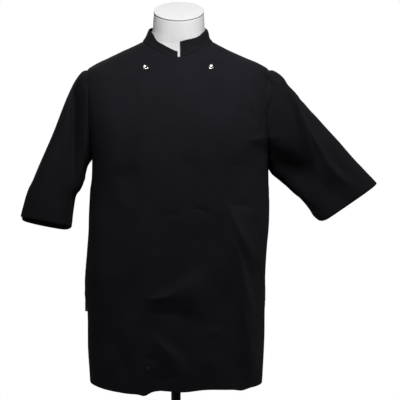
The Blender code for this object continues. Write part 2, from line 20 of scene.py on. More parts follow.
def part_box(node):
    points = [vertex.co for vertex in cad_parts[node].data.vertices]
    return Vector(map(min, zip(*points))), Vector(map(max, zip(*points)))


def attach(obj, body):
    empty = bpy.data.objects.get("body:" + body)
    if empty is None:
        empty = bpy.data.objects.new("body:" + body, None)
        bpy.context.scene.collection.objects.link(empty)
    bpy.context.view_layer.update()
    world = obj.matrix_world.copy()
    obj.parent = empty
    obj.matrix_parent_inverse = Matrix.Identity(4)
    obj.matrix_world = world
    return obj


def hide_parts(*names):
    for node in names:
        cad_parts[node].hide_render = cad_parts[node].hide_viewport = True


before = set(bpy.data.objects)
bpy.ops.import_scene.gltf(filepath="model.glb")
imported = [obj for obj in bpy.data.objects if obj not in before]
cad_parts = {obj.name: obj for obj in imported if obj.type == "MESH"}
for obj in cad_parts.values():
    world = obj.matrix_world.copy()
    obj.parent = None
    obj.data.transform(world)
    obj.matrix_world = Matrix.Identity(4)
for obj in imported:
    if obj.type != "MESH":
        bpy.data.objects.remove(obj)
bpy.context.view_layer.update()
MM = 0.001
CENTRE_FRONT_X = 5.0  # the tables below measure X from the shirt's centre front, in millimetres

# %% [markdown]
# ## Finishes
#
# Colours are written as the hex values that a paint program shows. Those are sRGB numbers, and a shader
# wants linear ones, so one function converts them. Most of the others add one kind of node each, which keeps
# a material down to a few lines that read in the order the light is worked out.

# %% Colour and node helpers
def linear(hex_colour):
    """A #rrggbb colour as the four linear numbers that a shader takes."""
    values = [int(hex_colour[i:i + 2], 16) / 255 for i in (1, 3, 5)]
    return [v / 12.92 if v <= 0.04045 else ((v + 0.055) / 1.055) ** 2.4 for v in values] + [1.0]


def plug(tree, node, inputs):
    """Fills inputs of a node, each with a number, a colour or another node's output socket."""
    for name, value in inputs.items():
        if isinstance(value, bpy.types.NodeSocket):
            tree.links.new(value, node.inputs[name])
        else:
            node.inputs[name].default_value = value


def add(tree, kind, settings=None, inputs=None):
    """Adds a shader node."""
    made = tree.nodes.new("ShaderNode" + kind)
    for name, value in (settings or {}).items():
        setattr(made, name, value)
    plug(tree, made, inputs or {})
    return made


def new_material(name, inputs):
    """A material with one Principled shader, and its node tree and shader to add to."""
    made = bpy.data.materials.new(name)
    made.use_nodes = True
    shader = made.node_tree.nodes["Principled BSDF"]
    plug(made.node_tree, shader, inputs)
    return made, made.node_tree, shader


# %% One function for each kind of node that the finishes share
WAVE_TURN = math.tau / 10  # Blender's wave texture turns ten radians for each unit


def sockets(words):
    """Keywords as names of sockets, which have spaces."""
    return {word.replace("_", " "): value for word, value in words.items()}


def noise(tree, scale, detail, **more):
    """The value of a noise texture."""
    return add(tree, "TexNoise", None, {"Scale": scale, "Detail": detail} | sockets(more)).outputs["Fac"]


def bands(tree, way, pitch, **more):
    """The value of a wave texture whose bands lie a pitch apart."""
    inputs = {"Scale": WAVE_TURN / pitch} | sockets(more)
    return add(tree, "TexWave", {"bands_direction": way}, inputs).outputs["Fac"]


def span(tree, value, low, high, least, most):
    """Takes a value from between low and high to between least and most."""
    inputs = {"Value": value, "From Min": low, "From Max": high, "To Min": least, "To Max": most}
    return add(tree, "MapRange", None, inputs).outputs[0]


def mixed(tree, share, first, second):
    """A mix of two colours."""
    return add(tree, "Mix", {"data_type": "RGBA"}, {"Factor": share, 6: first, 7: second}).outputs[2]


def ramp(tree, value, low, high, dark, light):
    """Takes a value from between low and high to a mix of two hex colours."""
    return mixed(tree, span(tree, value, low, high, 0.0, 1.0), linear(dark), linear(light))


def raised(tree, height, distance, strength=1.0, **more):
    """A shader normal for a small relief, whose depth is given in millimetres."""
    inputs = {"Height": height, "Distance": distance * MM, "Strength": strength} | sockets(more)
    return add(tree, "Bump", None, inputs).outputs[0]


# %% [markdown]
# ### Black polyester-cotton twill
#
# Workwear twill is woven so that each row of weft steps one warp thread sideways, which draws fine diagonal
# ribs. The real ribs are about 0.6 mm apart. That is too fine for a picture of the whole shirt, so they are
# drawn 1.5 mm apart. The cloth was dyed black in the piece: the dye goes grey first on folded edges, where
# it rubs, and each mesh carries a "worn" value for that. Its own coordinates, "grain", run along the threads
# of each cut piece, so the ribs turn with a sleeve and don't slide over the folds.

# %% Twill
TWILL_RIB = 1.5
twill, tree, shader = new_material("black polyester-cotton twill", {
    "Roughness": 0.9, "Specular IOR Level": 0.09, "Sheen Weight": 0.02, "Sheen Roughness": 0.5,
    "Sheen Tint": linear("#d9d9e6")})
grain = add(tree, "Attribute", {"attribute_name": "grain"}).outputs["Vector"]
worn = add(tree, "Attribute", {"attribute_name": "worn"}).outputs["Fac"]
place = add(tree, "TexCoord").outputs["Object"]
ribs = bands(tree, "DIAGONAL", TWILL_RIB * MM, Vector=grain, Distortion=0.6, Detail=1.0, Detail_Scale=2.0)
mottle = noise(tree, 9.0, 4.0, Vector=place, Roughness=0.6)
dye = ramp(tree, mottle, 0.3, 0.7, "#19191d", "#1d1d22")
rib_light = span(tree, ribs, 0.0, 1.0, 0.82, 1.12)
ribbed = add(tree, "VectorMath", {"operation": "SCALE"}, {0: dye, "Scale": rib_light}).outputs[0]
rubbed = noise(tree, 160.0, 2.0, Vector=place)
fade = add(tree, "Math", {"operation": "MULTIPLY", "use_clamp": True}, {0: worn, 1: rubbed}).outputs[0]
crush = noise(tree, 22.0, 4.0, Vector=place, Roughness=0.6, Distortion=0.6)
creased = raised(tree, crush, 2.2, 0.6)
plug(tree, shader, {
    "Base Color": mixed(tree, fade, ribbed, linear("#33333a")),
    "Normal": raised(tree, ribs, 0.12, 0.5, Normal=creased)})
print("twill ribs are drawn", TWILL_RIB, "mm apart")

# %% [markdown]
# ### Sewing thread, press studs and tape
#
# The thread is spun polyester, a little glossier than the cloth. The studs are brass caps plated with
# polished nickel, so the shader is fully metallic and keeps its default IOR; a faint scratch pattern varies
# the roughness. The one low down is smaller, and its nickel is drawn darker as painted shade. The tab is
# grey polyester tape, whose ribs run across it.

# %% Thread, nickel and tape
thread, tree, shader = new_material("black polyester thread", {"Roughness": 0.8, "Specular IOR Level": 0.12})
strands = noise(tree, 900.0, 2.0)
plug(tree, shader, {"Base Color": ramp(tree, strands, 0.35, 0.65, "#131316", "#1b1b20")})


def plated(name, dark, light, smooth, rough):
    """Plated metal, whose colour and roughness vary between the two given of each."""
    made, tree, shader = new_material(name, {"Metallic": 1.0})
    haze = noise(tree, 420.0, 5.0, Roughness=0.7, Distortion=2.0)
    plug(tree, shader, {
        "Base Color": ramp(tree, haze, 0.3, 0.7, dark, light),
        "Roughness": span(tree, haze, 0.3, 0.7, smooth, rough)})
    return made


nickel = plated("polished nickel plate", "#b9b7b2", "#d8d6d1", 0.10, 0.24)
# a darker copy of the nickel for the low stud: painted shade
shaded_nickel = plated("darker nickel plate, painted shade", "#2c2c2e", "#48484c", 0.28, 0.42)

TAPE_RIB = 0.9
tape, tree, shader = new_material("grey polyester tape", {"Roughness": 0.75, "Specular IOR Level": 0.25})
place = add(tree, "TexCoord").outputs["Object"]
ribs = bands(tree, "Z", TAPE_RIB * MM, Vector=place, Distortion=0.4)
plug(tree, shader, {
    "Base Color": ramp(tree, ribs, 0.0, 1.0, "#6d6d72", "#8f8f94"), "Normal": raised(tree, ribs, 0.15)})

# %% [markdown]
# ### The form and its stand
#
# A form like this is foam under a tube of white cotton jersey. Jersey is knitted, so it shows fine upright
# columns of stitches, drawn here 1.6 mm apart where the real ones are about half that. The neck is closed by
# a painted plate. Pole and base are steel with a satin black powder coat, whose orange-peel grain is about a
# millimetre across.

# %% Jersey, plate and powder coat
WALE, COAT_GRAIN = 1.6, 1.1
jersey, tree, shader = new_material("white cotton jersey", {
    "Roughness": 0.9, "Specular IOR Level": 0.2, "Sheen Weight": 0.15})
grain = add(tree, "Attribute", {"attribute_name": "grain"}).outputs["Vector"]
wales = bands(tree, "X", WALE * MM, Vector=grain, Distortion=0.5, Detail=1.0)
soil = noise(tree, 11.0, 4.0)
plug(tree, shader, {
    "Base Color": ramp(tree, soil, 0.3, 0.7, "#dcdcdd", "#e6e6e6"),
    "Normal": raised(tree, wales, 0.15, 0.35)})

plate, tree, shader = new_material("white satin enamel", {"Specular IOR Level": 0.5})
brushed = noise(tree, 26.0, 6.0, Roughness=0.65)
plug(tree, shader, {
    "Base Color": ramp(tree, brushed, 0.3, 0.75, "#e0e0e0", "#ebebeb"),
    "Roughness": span(tree, brushed, 0.4, 0.7, 0.36, 0.52)})

coat, tree, shader = new_material("satin black powder coat", {"Specular IOR Level": 0.45})
dust = noise(tree, 14.0, 6.0, Roughness=0.7)
peel = noise(tree, 1 / (COAT_GRAIN * MM), 1.0)
plug(tree, shader, {
    "Base Color": ramp(tree, dust, 0.35, 0.75, "#101011", "#1d1d1f"),
    "Roughness": span(tree, dust, 0.35, 0.75, 0.34, 0.5),
    "Normal": raised(tree, peel, 0.05, 0.4)})

# %% [markdown]
# ## The shirt's shape
#
# The cloth is worked out, not sculpted. The tables say how wide and deep the worn shirt is at twenty
# heights, and two functions read them: one draws smooth curves through the rows, the other turns an angle
# and a height into a point on the cloth. The alternative would be a cloth simulation over the form. It
# drapes well, but it doesn't put this shirt's folds where they are, and every edge would have to be found
# again afterwards.

# %% The body's sections
# right_z, left_z, front_z, back_z, right, left, front, back, square, lap
BODY = (
    (673, 670, 671, 673, 203.5, 194.5, 146, 142, 2.70, -71),
    (740, 738, 739, 740, 208.0, 198.0, 147, 141, 2.70, -74),
    (803, 802, 803, 803, 210.0, 199.5, 148, 140, 2.70, -76),
    (857, 857, 857, 857, 211.0, 199.5, 148, 139, 2.70, -78),
    (910, 910, 910, 910, 212.0, 201.0, 148, 138, 2.70, -80),
    (965, 965, 965, 965, 209.5, 204.5, 148, 137, 2.70, -83),
    (1023, 1023, 1023, 1023, 205.0, 208.0, 148, 137, 2.70, -85),
    (1080, 1080, 1080, 1080, 200.5, 207.5, 149, 138, 2.75, -87),
    (1131, 1122, 1127, 1130, 197.5, 207.5, 150, 140, 2.90, -88),
    (1182, 1160, 1172, 1176, 196.0, 207.5, 150, 143, 3.10, -89),
    (1228, 1214, 1216, 1224, 199.0, 208.0, 147, 146, 3.30, -90),
    (1278, 1270, 1260, 1272, 204.0, 209.0, 140, 147, 3.40, -90),
    (1326, 1324, 1300, 1318, 209.0, 212.0, 128, 143, 3.30, -90),
    (1362, 1362, 1331, 1354, 212.0, 213.0, 116, 135, 2.90, -90),
    (1386, 1386, 1355, 1382, 207.5, 208.5, 105, 124, 2.50, -90),
    (1401, 1401, 1371, 1402, 186.0, 186.5, 97, 114, 2.10, -90),
    (1414, 1414, 1385, 1420, 158.5, 155.5, 89, 104, 2.05, -88),
    (1428, 1428, 1396, 1436, 129.5, 123.5, 82, 94, 2.00, -85),
    (1441, 1441, 1407, 1449, 101.0, 97.5, 76, 84, 2.00, -76),
    (1451, 1451, 1417, 1459, 80.5, 79.5, 69, 76, 2.00, -62),
)
VENT_TOP, UNDERARM, SHOULDER_POINT, NECK_SEAM = 3.0, 9.0, 14.0, 19.0  # rows of BODY
VENT_GAP = (2.4, 9.0)  # between front and back at the top and the foot of a side vent
VENT_TUCK, VENT_TUCK_ANGLE = 2.0, math.radians(7)  # how far a vent's edges are drawn in, and from where
RIGHT_TUCK, RIGHT_TUCK_ANGLE = 4.6, math.radians(16)  # more of it, on the right front
RIGHT_TUCK_ROWS = (0.9, 2.4)  # there it grows from the first of these rows to the second
VENT_EASE = 0.15  # rows under the vent's top that the tuck ends in
ARMHOLE_SPREAD = math.radians(18)
UNDER_EDGE = 0.94  # the lower front's hidden edge mirrors the upper one's, this much nearer the middle
LAYER = 1.0  # how far the upper front lies off the lower one


def between(table, at):
    """All columns of a table at a fractional row, on smooth curves that don't swing past the rows."""
    rows = np.asarray(table, float)
    last = len(rows) - 1
    at = min(max(at, 0.0), float(last))
    low = min(int(at), last - 1)
    steps = np.diff(rows, axis=0)

    def slope(row):
        before, after = steps[max(row - 1, 0)], steps[min(row, last - 1)]
        steepest = 3 * np.minimum(np.abs(before), np.abs(after))
        average = (before + after) / 2
        return np.where(before * after > 0, np.sign(average) * np.minimum(np.abs(average), steepest), 0)

    t = at - low
    start, end = rows[low], rows[low + 1]
    return (start * (1 + 2 * t) * (1 - t) ** 2 + slope(low) * t * (1 - t) ** 2
            + end * t * t * (3 - 2 * t) + slope(low + 1) * t * t * (t - 1))


def eased(low, high, value):
    """0 below low, 1 above high, and smooth between."""
    t = np.clip((value - low) / (high - low), 0, 1)
    return t * t * (3 - 2 * t)


def bump(distance, width):
    """1 on a line and fading to nothing on both its sides."""
    return np.exp(-((distance / width) ** 2))


def band(distance, size):
    """A soft band along a line, given its height and its width."""
    height, width = size
    return height * bump(distance, width)


def unit(vectors):
    return vectors / np.maximum(np.linalg.norm(vectors, axis=-1, keepdims=True), 1e-9)


def body_points(angles, row):
    """Points of the body at a row, for angles from 0 at centre front to 90 degrees at the wearer's left."""
    right_z, left_z, front_z, back_z, right, left, front, back, square, _ = between(BODY, row)
    sine, cosine = np.sin(angles), np.cos(angles)
    half, side_z = np.where(sine < 0, right, left), np.where(sine < 0, right_z, left_z)
    depth, middle_z = np.where(cosine > 0, front, back), np.where(cosine > 0, front_z, back_z)
    reach = (np.abs(sine / half) ** square + np.abs(cosine / depth) ** square) ** (-1 / square)
    return np.stack((reach * sine, -reach * cosine, middle_z + (side_z - middle_z) * sine**2), axis=-1)


def body_frame(angles, row, small=0.004):
    """Points of the body, with the ways that lead out of the cloth and up it."""
    around = body_points(angles + small, row) - body_points(angles - small, row)
    upward = body_points(angles, row + small) - body_points(angles, row - small)
    return body_points(angles, row), unit(np.cross(around, upward)), unit(upward)


def side_angle(row):
    """The angle of a panel's side edge: the vent, then the side seam, the armhole and the shoulder seam."""
    part = (row - UNDERARM) / (SHOULDER_POINT - UNDERARM)
    open_by = ARMHOLE_SPREAD * math.sqrt(max(0.0, 1 - (2 * part - 1) ** 2)) if 0 < part < 1 else 0.0
    gap = max(0.0, VENT_GAP[1] + (VENT_GAP[0] - VENT_GAP[1]) * row / VENT_TOP) * (row < VENT_TOP)
    return math.pi / 2 - max(open_by, gap / 2 / between(BODY, row)[4])


chest = body_points(np.linspace(0, math.tau, 400), 10.0)
print("chest girth", round(np.linalg.norm(np.diff(chest, axis=0), axis=-1).sum() / 10), "cm")

# %% [markdown]
# ## Folds
#
# A fold is a crest or a trough along a curve through three points. Its two sides have widths of their own,
# since a real fold leans: one side is steep and the other runs out slowly. The folds of the front are in two
# tables. The first has those that a seam holds, under the arms and down the left sleeve, and they start
# sharply. The second has the free ones, each of which grows slowly out of flat cloth. All fade towards their
# other end.
#
# Folds on the front are placed as the front shows them and push the cloth towards the viewer, and those on
# the back likewise. The body and both sleeves share them, so a fold that crosses an armhole seam doesn't
# break there. Under the folds lies a slow swell, a sum of a few sine waves, because even flat cloth is never
# quite flat.

# %% Folds of the front
# x and z of the start, the middle and the end, the width to the left and the right of that way, and the rise
HELD_FOLDS = (
    # under the wearer's right arm
    (-238, 1389, -236, 1257, -240, 1093, 19, 8, -26),
    (-224, 1341, -213, 1355, -197, 1364, 5, 6, -3),
    (-204, 1398, -206, 1241, -211, 1058, 16, 18, 12),
    (-267, 1229, -270, 1138, -267, 1042, 9, 9, -2),
    (-304, 1184, -308, 1127, -327, 1061, 16, 14, 2.5),
    (-249, 1102, -254, 1074, -252, 1042, 8, 8, 2),
    # under the wearer's left arm, and down that sleeve
    (258, 1370, 285, 1265, 315, 1165, 9, 28, 23),
    (265, 1352, 303, 1245, 374, 1142, 5, 9, 14),
    (329, 1192, 363, 1151, 411, 1119, 7, 22, 8),
    (201, 1186, 260, 1150, 337, 1118, 28, 70, -38),
    (244, 1348, 269, 1266, 282, 1184, 8, 16, -8),
    (194, 1209, 242, 1184, 301, 1154, 16, 12, -13),
    (159, 1232, 200, 1235, 246, 1239, 7, 14, 6),
    (164, 1299, 173, 1278, 184, 1256, 6, 8, -4),
    (216, 1326, 200, 1289, 184, 1253, 9, 6, -5),
    (173, 1393, 203, 1368, 235, 1332, 5, 18, -7),
    (290, 1149, 292, 1119, 297, 1085, 7, 8, -3),
    (338, 1130, 347, 1107, 356, 1080, 9, 9, -3),
    (375, 1100, 391, 1089, 409, 1091, 8, 8, -2.5),
    (347, 1229, 379, 1183, 420, 1146, 12, 10, 2.4),
)
FREE_FOLDS = (
    # from the waist down on the wearer's left
    (118, 1086, 147, 1084, 180, 1070, 14, 10, -4),
    (104, 1110, 147, 1014, 191, 911, 15, 24, 22),
    (162, 1072, 180, 1027, 192, 987, 8, 8, -4),
    (116, 1049, 156, 897, 185, 717, 12, 26, 21),
    (174, 972, 185, 929, 192, 882, 6, 8, -5),
    (140, 897, 165, 762, 178, 628, 13, 24, 13),
    (62, 759, 75, 737, 93, 710, 18, 24, 3.5),
    # across the belly and below it
    (-77, 873, 2, 893, 91, 938, 20, 40, 15),
    (-83, 846, 2, 840, 91, 815, 14, 24, -4),
    (-77, 878, -48, 880, -16, 891, 7, 12, 3.5),
    (62, 804, 84, 802, 109, 817, 12, 18, 3),
    (-74, 804, -21, 757, 33, 674, 17, 36, 14),
    (-74, 748, -56, 741, -39, 737, 9, 10, -4),
    (-63, 696, -25, 696, 15, 703, 7, 7, -2),
    (31, 1081, 55, 1077, 82, 1066, 5, 7, -3),
    (-39, 1072, -12, 1068, 15, 1072, 7, 9, -1.2),
    (-92, 976, -65, 974, -34, 978, 12, 18, 2),
    # down the wearer's right side
    (-97, 965, -101, 864, -97, 759, 13, 18, -3),
    (-130, 779, -119, 723, -110, 669, 13, 12, -2.5),
    (-146, 794, -144, 731, -142, 668, 12, 20, 3),
    (-182, 937, -148, 930, -113, 939, 18, 26, 4),
    (-206, 909, -190, 898, -174, 887, 9, 6, -4),
    (-181, 1165, -185, 940, -181, 681, 34, 12, 9),
    (-178, 804, -181, 759, -176, 710, 10, 12, -2.5),
    # slight ones, as cloth that was folded for storing keeps
    (-164, 1153, -114, 1153, -74, 1171, 22, 54, -5),
    (-7, 1189, 28, 1184, 64, 1196, 18, 36, -3.2),
    (109, 1193, 140, 1175, 185, 1195, 20, 40, -4.6),
    (60, 1140, 77, 1117, 86, 1086, 14, 14, -1.8),
    (-146, 1108, -119, 1090, -110, 1054, 16, 14, 1.8),
    (19, 1037, 42, 1010, 73, 996, 14, 18, -2),
    (-61, 1332, -55, 1255, -59, 1170, 12, 16, 1.2),
    (-111, 1323, -124, 1278, -120, 1228, 16, 16, -1.2),
)

# %% Folds of the back
BACK_FOLDS = (
    # fans from the underarms and the shoulder blades
    (-222, 1340, -220, 1255, -222, 1150, 20, 8, -13),
    (-236, 1338, -238, 1250, -236, 1140, 6, 16, 4),
    (-196, 1236, -150, 1196, -92, 1172, 14, 20, -6),
    (-192, 1200, -140, 1130, -104, 1040, 16, 24, 5.5),
    (-198, 1168, -176, 1080, -172, 990, 16, 12, -5),
    (198, 1216, 150, 1180, 86, 1160, 18, 12, -6),
    (196, 1186, 148, 1120, 112, 1030, 22, 14, 5.5),
    (200, 1150, 182, 1070, 180, 970, 12, 15, -5),
    (-150, 1372, -120, 1310, -118, 1240, 18, 14, 3),
    (156, 1370, 126, 1306, 120, 1236, 14, 18, 3),
    (-196, 1388, -212, 1368, -232, 1340, 6, 6, -4),
    (190, 1390, 214, 1370, 238, 1336, 6, 6, -4),
    (-70, 1400, 0, 1386, 74, 1402, 10, 16, -1.6),
    # down the middle, where the cloth hangs from the blades
    (-34, 1240, -46, 1120, -30, 990, 30, 24, 3.5),
    (36, 1210, 50, 1080, 34, 960, 24, 26, -3.5),
    (-62, 1010, -84, 880, -74, 700, 22, 18, 5),
    (-20, 960, -24, 830, -40, 676, 18, 20, -4.5),
    (34, 980, 26, 840, 34, 674, 20, 18, 4.6),
    (82, 1000, 86, 860, 74, 690, 18, 22, -4.6),
    (128, 960, 134, 830, 128, 674, 18, 16, 4.6),
    (-128, 980, -130, 850, -124, 674, 16, 20, -4.6),
    (-170, 940, -168, 830, -160, 680, 15, 13, 3.6),
    (172, 920, 170, 810, 164, 676, 13, 13, -3.6),
    (-96, 1066, -50, 1052, 2, 1058, 8, 11, -2),
    (12, 1100, 60, 1086, 108, 1098, 9, 10, -2),
    (-58, 934, -16, 924, 26, 930, 8, 10, 1.8),
    (50, 850, 90, 838, 128, 846, 8, 9, -1.8),
    (-120, 800, -92, 790, -60, 796, 8, 9, 1.6),
    # the sleeves
    (-250, 1330, -276, 1250, -308, 1160, 18, 12, 5),
    (-266, 1180, -286, 1120, -296, 1060, 14, 16, -4),
    (-318, 1150, -326, 1100, -340, 1050, 12, 12, -2.4),
    (262, 1336, 296, 1270, 352, 1214, 22, 9, 7),
    (206, 1200, 250, 1168, 306, 1140, 20, 8, -17),
    (262, 1246, 300, 1206, 352, 1160, 14, 16, -5),
    (326, 1208, 366, 1160, 408, 1120, 12, 12, 3),
    (300, 1110, 330, 1090, 350, 1064, 12, 10, 2.6),
)

# %% Folds of the sides
# y and z instead of x and z, on the body below the arms
SIDE_FOLDS = (
    (-6, 1128, -34, 1060, -52, 980, 14, 12, 3.4),
    (14, 1130, 30, 1060, 44, 960, 12, 14, 3.0),
    (4, 1090, -4, 1000, -14, 900, 12, 14, -3.2),
    (-50, 1040, -66, 960, -70, 860, 12, 12, -2.4),
    (52, 1020, 66, 940, 60, 850, 14, 12, -2.4),
    (24, 930, 18, 840, 30, 740, 14, 12, 2.6),
    (-34, 900, -44, 810, -30, 700, 14, 12, 2.8),
    (48, 830, 56, 760, 50, 676, 12, 12, -2.2),
    (-26, 1010, 0, 1004, 28, 1012, 7, 9, -1.6),
    (-20, 868, 8, 860, 34, 866, 6, 8, 1.4),
)
# millimetres round a sleeve from its top line, towards its front, and down from its seam
SLEEVE_FOLDS = (
    (-30, 8, -44, 60, -40, 130, 12, 14, 2.4),
    (26, 10, 38, 70, 30, 150, 14, 12, -2.2),
    (0, 40, 6, 120, -8, 220, 18, 16, 1.8),
    (-70, 60, -50, 110, -10, 150, 9, 12, -2.0),
    (60, 120, 44, 170, 52, 230, 12, 10, 1.8),
    (-60, 180, -50, 220, -64, 270, 12, 12, -1.6),
)
in_front = len(HELD_FOLDS) + len(FREE_FOLDS)
print(in_front, "folds in front,", len(BACK_FOLDS), "behind and", len(SIDE_FOLDS), "on each side")

# %% Working out the folds
FOLD_STEPS = 14  # straight steps that a fold's curve is taken in
FOLD_REACH = 4  # a fold is worked out this many widths from its curve
FOLD_FALL = 1.5  # how fast its sides fall away
FOLD_FADE = 0.8  # the share of its rise that it loses along its second half


def relief(seen, folds, held=0.35):
    """How far folds stand out at points given as the view of their table shows them.

    Held is the share of its rise that a fold has at its start: none where it only grows out of flat cloth.
    """
    height = np.zeros(seen.shape[:-1])
    for x0, z0, x1, z1, x2, z2, left, right, rise in folds:
        ends, far = np.array(((x0, z0), (x1, z1), (x2, z2)), float), FOLD_REACH * max(left, right)
        close = ((seen > ends.min(axis=0) - far) & (seen < ends.max(axis=0) + far)).all(axis=-1)
        if not close.any():
            continue
        spots, t = seen[close], np.linspace(0, 1, FOLD_STEPS + 1)[:, None]
        line = ends[0] * (1 - t) * (1 - 2 * t) + 4 * ends[1] * t * (1 - t) + ends[2] * t * (2 * t - 1)
        nearest = np.full(len(spots), np.inf)
        along, reach = np.zeros(len(spots)), np.zeros(len(spots))
        for step in range(FOLD_STEPS):
            run = line[step + 1] - line[step]
            length = math.hypot(*run)
            gap = spots - line[step]
            share = np.clip(gap @ run / length**2, 0, 1)
            gap = gap - share[:, None] * run
            across, beyond = (run[0] * gap[:, 1] - run[1] * gap[:, 0]) / length, gap @ run / length
            nearer = np.hypot(across, beyond) < nearest
            wide = np.where(across > 0, left, right)
            nearest = np.where(nearer, np.hypot(across, beyond), nearest)
            reach = np.where(nearer, np.hypot(across / wide, beyond * 2 / (left + right)), reach)
            along = np.where(nearer, (step + share) / FOLD_STEPS, along)
        start = 0.45 - 0.6 * held + 0.4 * reach  # the share of its way in which it grows, least on the crest
        strength = (held + (1 - held) * eased(0, start, along)) * (1 - FOLD_FADE * eased(0.5, 1, along))
        crest = min(max((left + right) / 60, 0.35), 1.2)  # a wide fold is rounder
        height[close] += rise * strength * np.exp(-FOLD_FALL * (np.sqrt(reach**2 + crest**2) - crest))
    return height


def swell(first, second, seed, height, wave=(60, 150)):
    """A slow unevenness: sine waves of seeded directions and lengths over two coordinates in millimetres."""
    draw = np.random.default_rng(seed)
    total = np.zeros(np.shape(first))
    for _ in range(7):
        turn, length, phase = draw.uniform(-0.7, 0.7), draw.uniform(*wave), draw.uniform(0, math.tau)
        total += np.sin((first * math.cos(turn) + second * math.sin(turn)) * math.tau / length + phase)
    return height * total / 7**0.5


# %% The worn shape
# node, x, z, size
STUDS = (
    ("stud_upper_right", -72.5, 1394.0, 1.0),
    ("stud_upper_left", 76.0, 1394.0, 1.0),
    ("stud_lower_right", -65.0, 720.0, 0.75),
)
DIMPLE, DIMPLE_WIDTH = 0.9, 9.0  # of the cloth under a stud
NEAR_SIDE = (2, 26)  # the stretch of Y, from the line between front and back, in which their folds grow
SIDE_TOP, SIDE_FADE = 1145, (1150, 1110)  # where the folds of the sides end, under the arms
SIDE_SHIFT = (6, 14)  # they are moved by this, so that the two sides aren't mirror images


def worn_shape(points):
    """Moves points of the smooth shirt to where its folds, its swell and its studs' dimples put them."""
    x, y, z = np.moveaxis(points, -1, 0)
    seen, low = points[..., [0, 2]], 1 - eased(760, 1400, z)
    front = relief(seen, HELD_FOLDS, 0.5) + relief(seen, FREE_FOLDS, 0.0) + swell(x, z, 3, 1.0) * (0.5 + low)
    for _, stud_x, stud_z, size in STUDS:
        front -= band(np.hypot(x - stud_x, z - stud_z), (DIMPLE * size, DIMPLE_WIDTH * size))
    behind = relief(seen, BACK_FOLDS) + swell(x, z, 8, 0.9) * (0.5 + low)
    moved = points.copy()
    moved[..., 1] += np.where(y < 0, -front, behind) * eased(*NEAR_SIDE, np.abs(y))
    side = np.sign(x)
    beside = np.stack((y * side + SIDE_SHIFT[0] * side, z + SIDE_SHIFT[1] * side), axis=-1)
    at_side = eased(92, 40, np.abs(y)) * eased(150, 185, np.abs(x)) * (z < SIDE_TOP)
    moved[..., 0] += side * relief(beside, SIDE_FOLDS) * at_side * eased(*SIDE_FADE, z)
    return moved


# %% [markdown]
# ## From a grid of points to a piece of cloth
#
# Each piece starts as a grid that follows its cut: one line of points for each row. Grid lines crowd
# together at the edges, because that is where cloth has its small form: a seam draws it in, a line of
# stitches leaves a shallow groove with little puckers beside it, and a turned edge is thicker and rounds
# over. How far a point lies from an edge is found with a KD-tree, which is a fast way to ask for the nearest
# of many points. Solidify then gives the cloth its wall, and a vertex group tells it where the wall is
# double.
#
# Two pieces that are sewn together share the line of their seam. Both turn in behind it, to one line a
# little deeper, as seam allowances do, so no light shows through.

# %% Grid, edge and wall helpers
CLOTH, TURNED = 0.5, 0.9  # wall of single cloth, and of a turned edge
HEM_DEPTH, EDGE_STITCH, COLLAR_STITCH = 20.0, 6.0, 5.0  # from the edge to its line of stitches
ALLOWANCE = 3.0  # how deep a seam turns in
# how far grid lines lie from a seam, from a free edge and from a hem
SEAM_LINES = (0.0, 0.01, 0.2, 0.7, 1.5, 2.6, 4.4, 7.0)
EDGE_LINES = (0.0, 0.2, 0.6, 1.3, 2.8, 4.4, 5.4, 6.0, 6.6, 7.8, 10.0)
HEM_LINES = (0.0, 0.2, 0.7, 1.6, 4.0, 8.0, 13.0, 17.0, 18.8, 20.0, 21.2, 23.0, 26.0)


def length_along(line):
    """The distance from a line's start to each of its points."""
    return np.concatenate(([0], np.cumsum(np.linalg.norm(np.diff(line, axis=0), axis=-1))))


def at_lengths(line, lengths):
    """Points at the given distances along a line."""
    run = length_along(line)
    return np.stack([np.interp(lengths, run, line[:, axis]) for axis in range(3)], axis=-1)


def finely(line, step=1.0):
    """A line filled in so that its points are at most a step apart."""
    length = length_along(line)[-1]
    return at_lengths(line, np.linspace(0, length, max(2, int(length / step))))


def stations(length, near, far, count):
    """Distances along a line: fixed ones from each end, and even ones between."""
    middle = np.linspace(near[-1], length - far[-1], count + 1)
    return np.concatenate((near[:-1], middle, length - np.array(far[-2::-1])))


def spaced_angles(row, start, end, near, far, count):
    """Angles of a section from start to end, at those distances along the cloth."""
    fine = np.linspace(start, end, 260)
    run = length_along(body_points(fine, row))
    return np.interp(stations(run[-1], near, far, count), run, fine)


def tree_of(points):
    """A KD-tree over points."""
    tree = kdtree.KDTree(len(points))
    for index, point in enumerate(points):
        tree.insert(point, index)
    tree.balance()
    return tree


def far_from(points, lines):
    """The distance of each grid point from the nearest of some lines."""
    tree = tree_of(np.concatenate([finely(line) for line in lines]))
    return np.array([tree.find(point)[2] for point in points.reshape(-1, 3)]).reshape(points.shape[:-1])


def grid_normals(points, ring=False):
    """The way out of a grid whose rows run to the wearer's left and whose columns run up."""
    if ring:
        around = np.roll(points, -1, axis=1) - np.roll(points, 1, axis=1)
    else:
        around = np.gradient(points, axis=1)
    return unit(np.cross(around, np.gradient(points, axis=0)))


def puckers(run, seed, distance, size, wave=(7, 17)):
    """Puckers along a line of stitches, given their height and how far from the line they spread."""
    draw = np.random.default_rng(seed)
    total = sum(np.sin(run * math.tau / draw.uniform(*wave) + draw.uniform(0, math.tau)) for _ in range(4))
    return total / 2 * band(distance, size)


def runs(points):
    """Distances along the rows and along the columns of a grid, which are the cloth's own coordinates."""
    across = np.linalg.norm(np.diff(points, axis=1), axis=-1).cumsum(axis=1)
    up = np.linalg.norm(np.diff(points, axis=0), axis=-1).cumsum(axis=0)
    zero_column, zero_row = np.zeros((len(points), 1)), np.zeros((1, points.shape[1]))
    return np.hstack((zero_column, across)), np.vstack((zero_row, up))


def show(name, mesh):
    """Puts a mesh into the scene as a piece that goes with the body."""
    made = bpy.data.objects.new(name, mesh)
    bpy.context.scene.collection.objects.link(made)
    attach(made, "root")
    return made


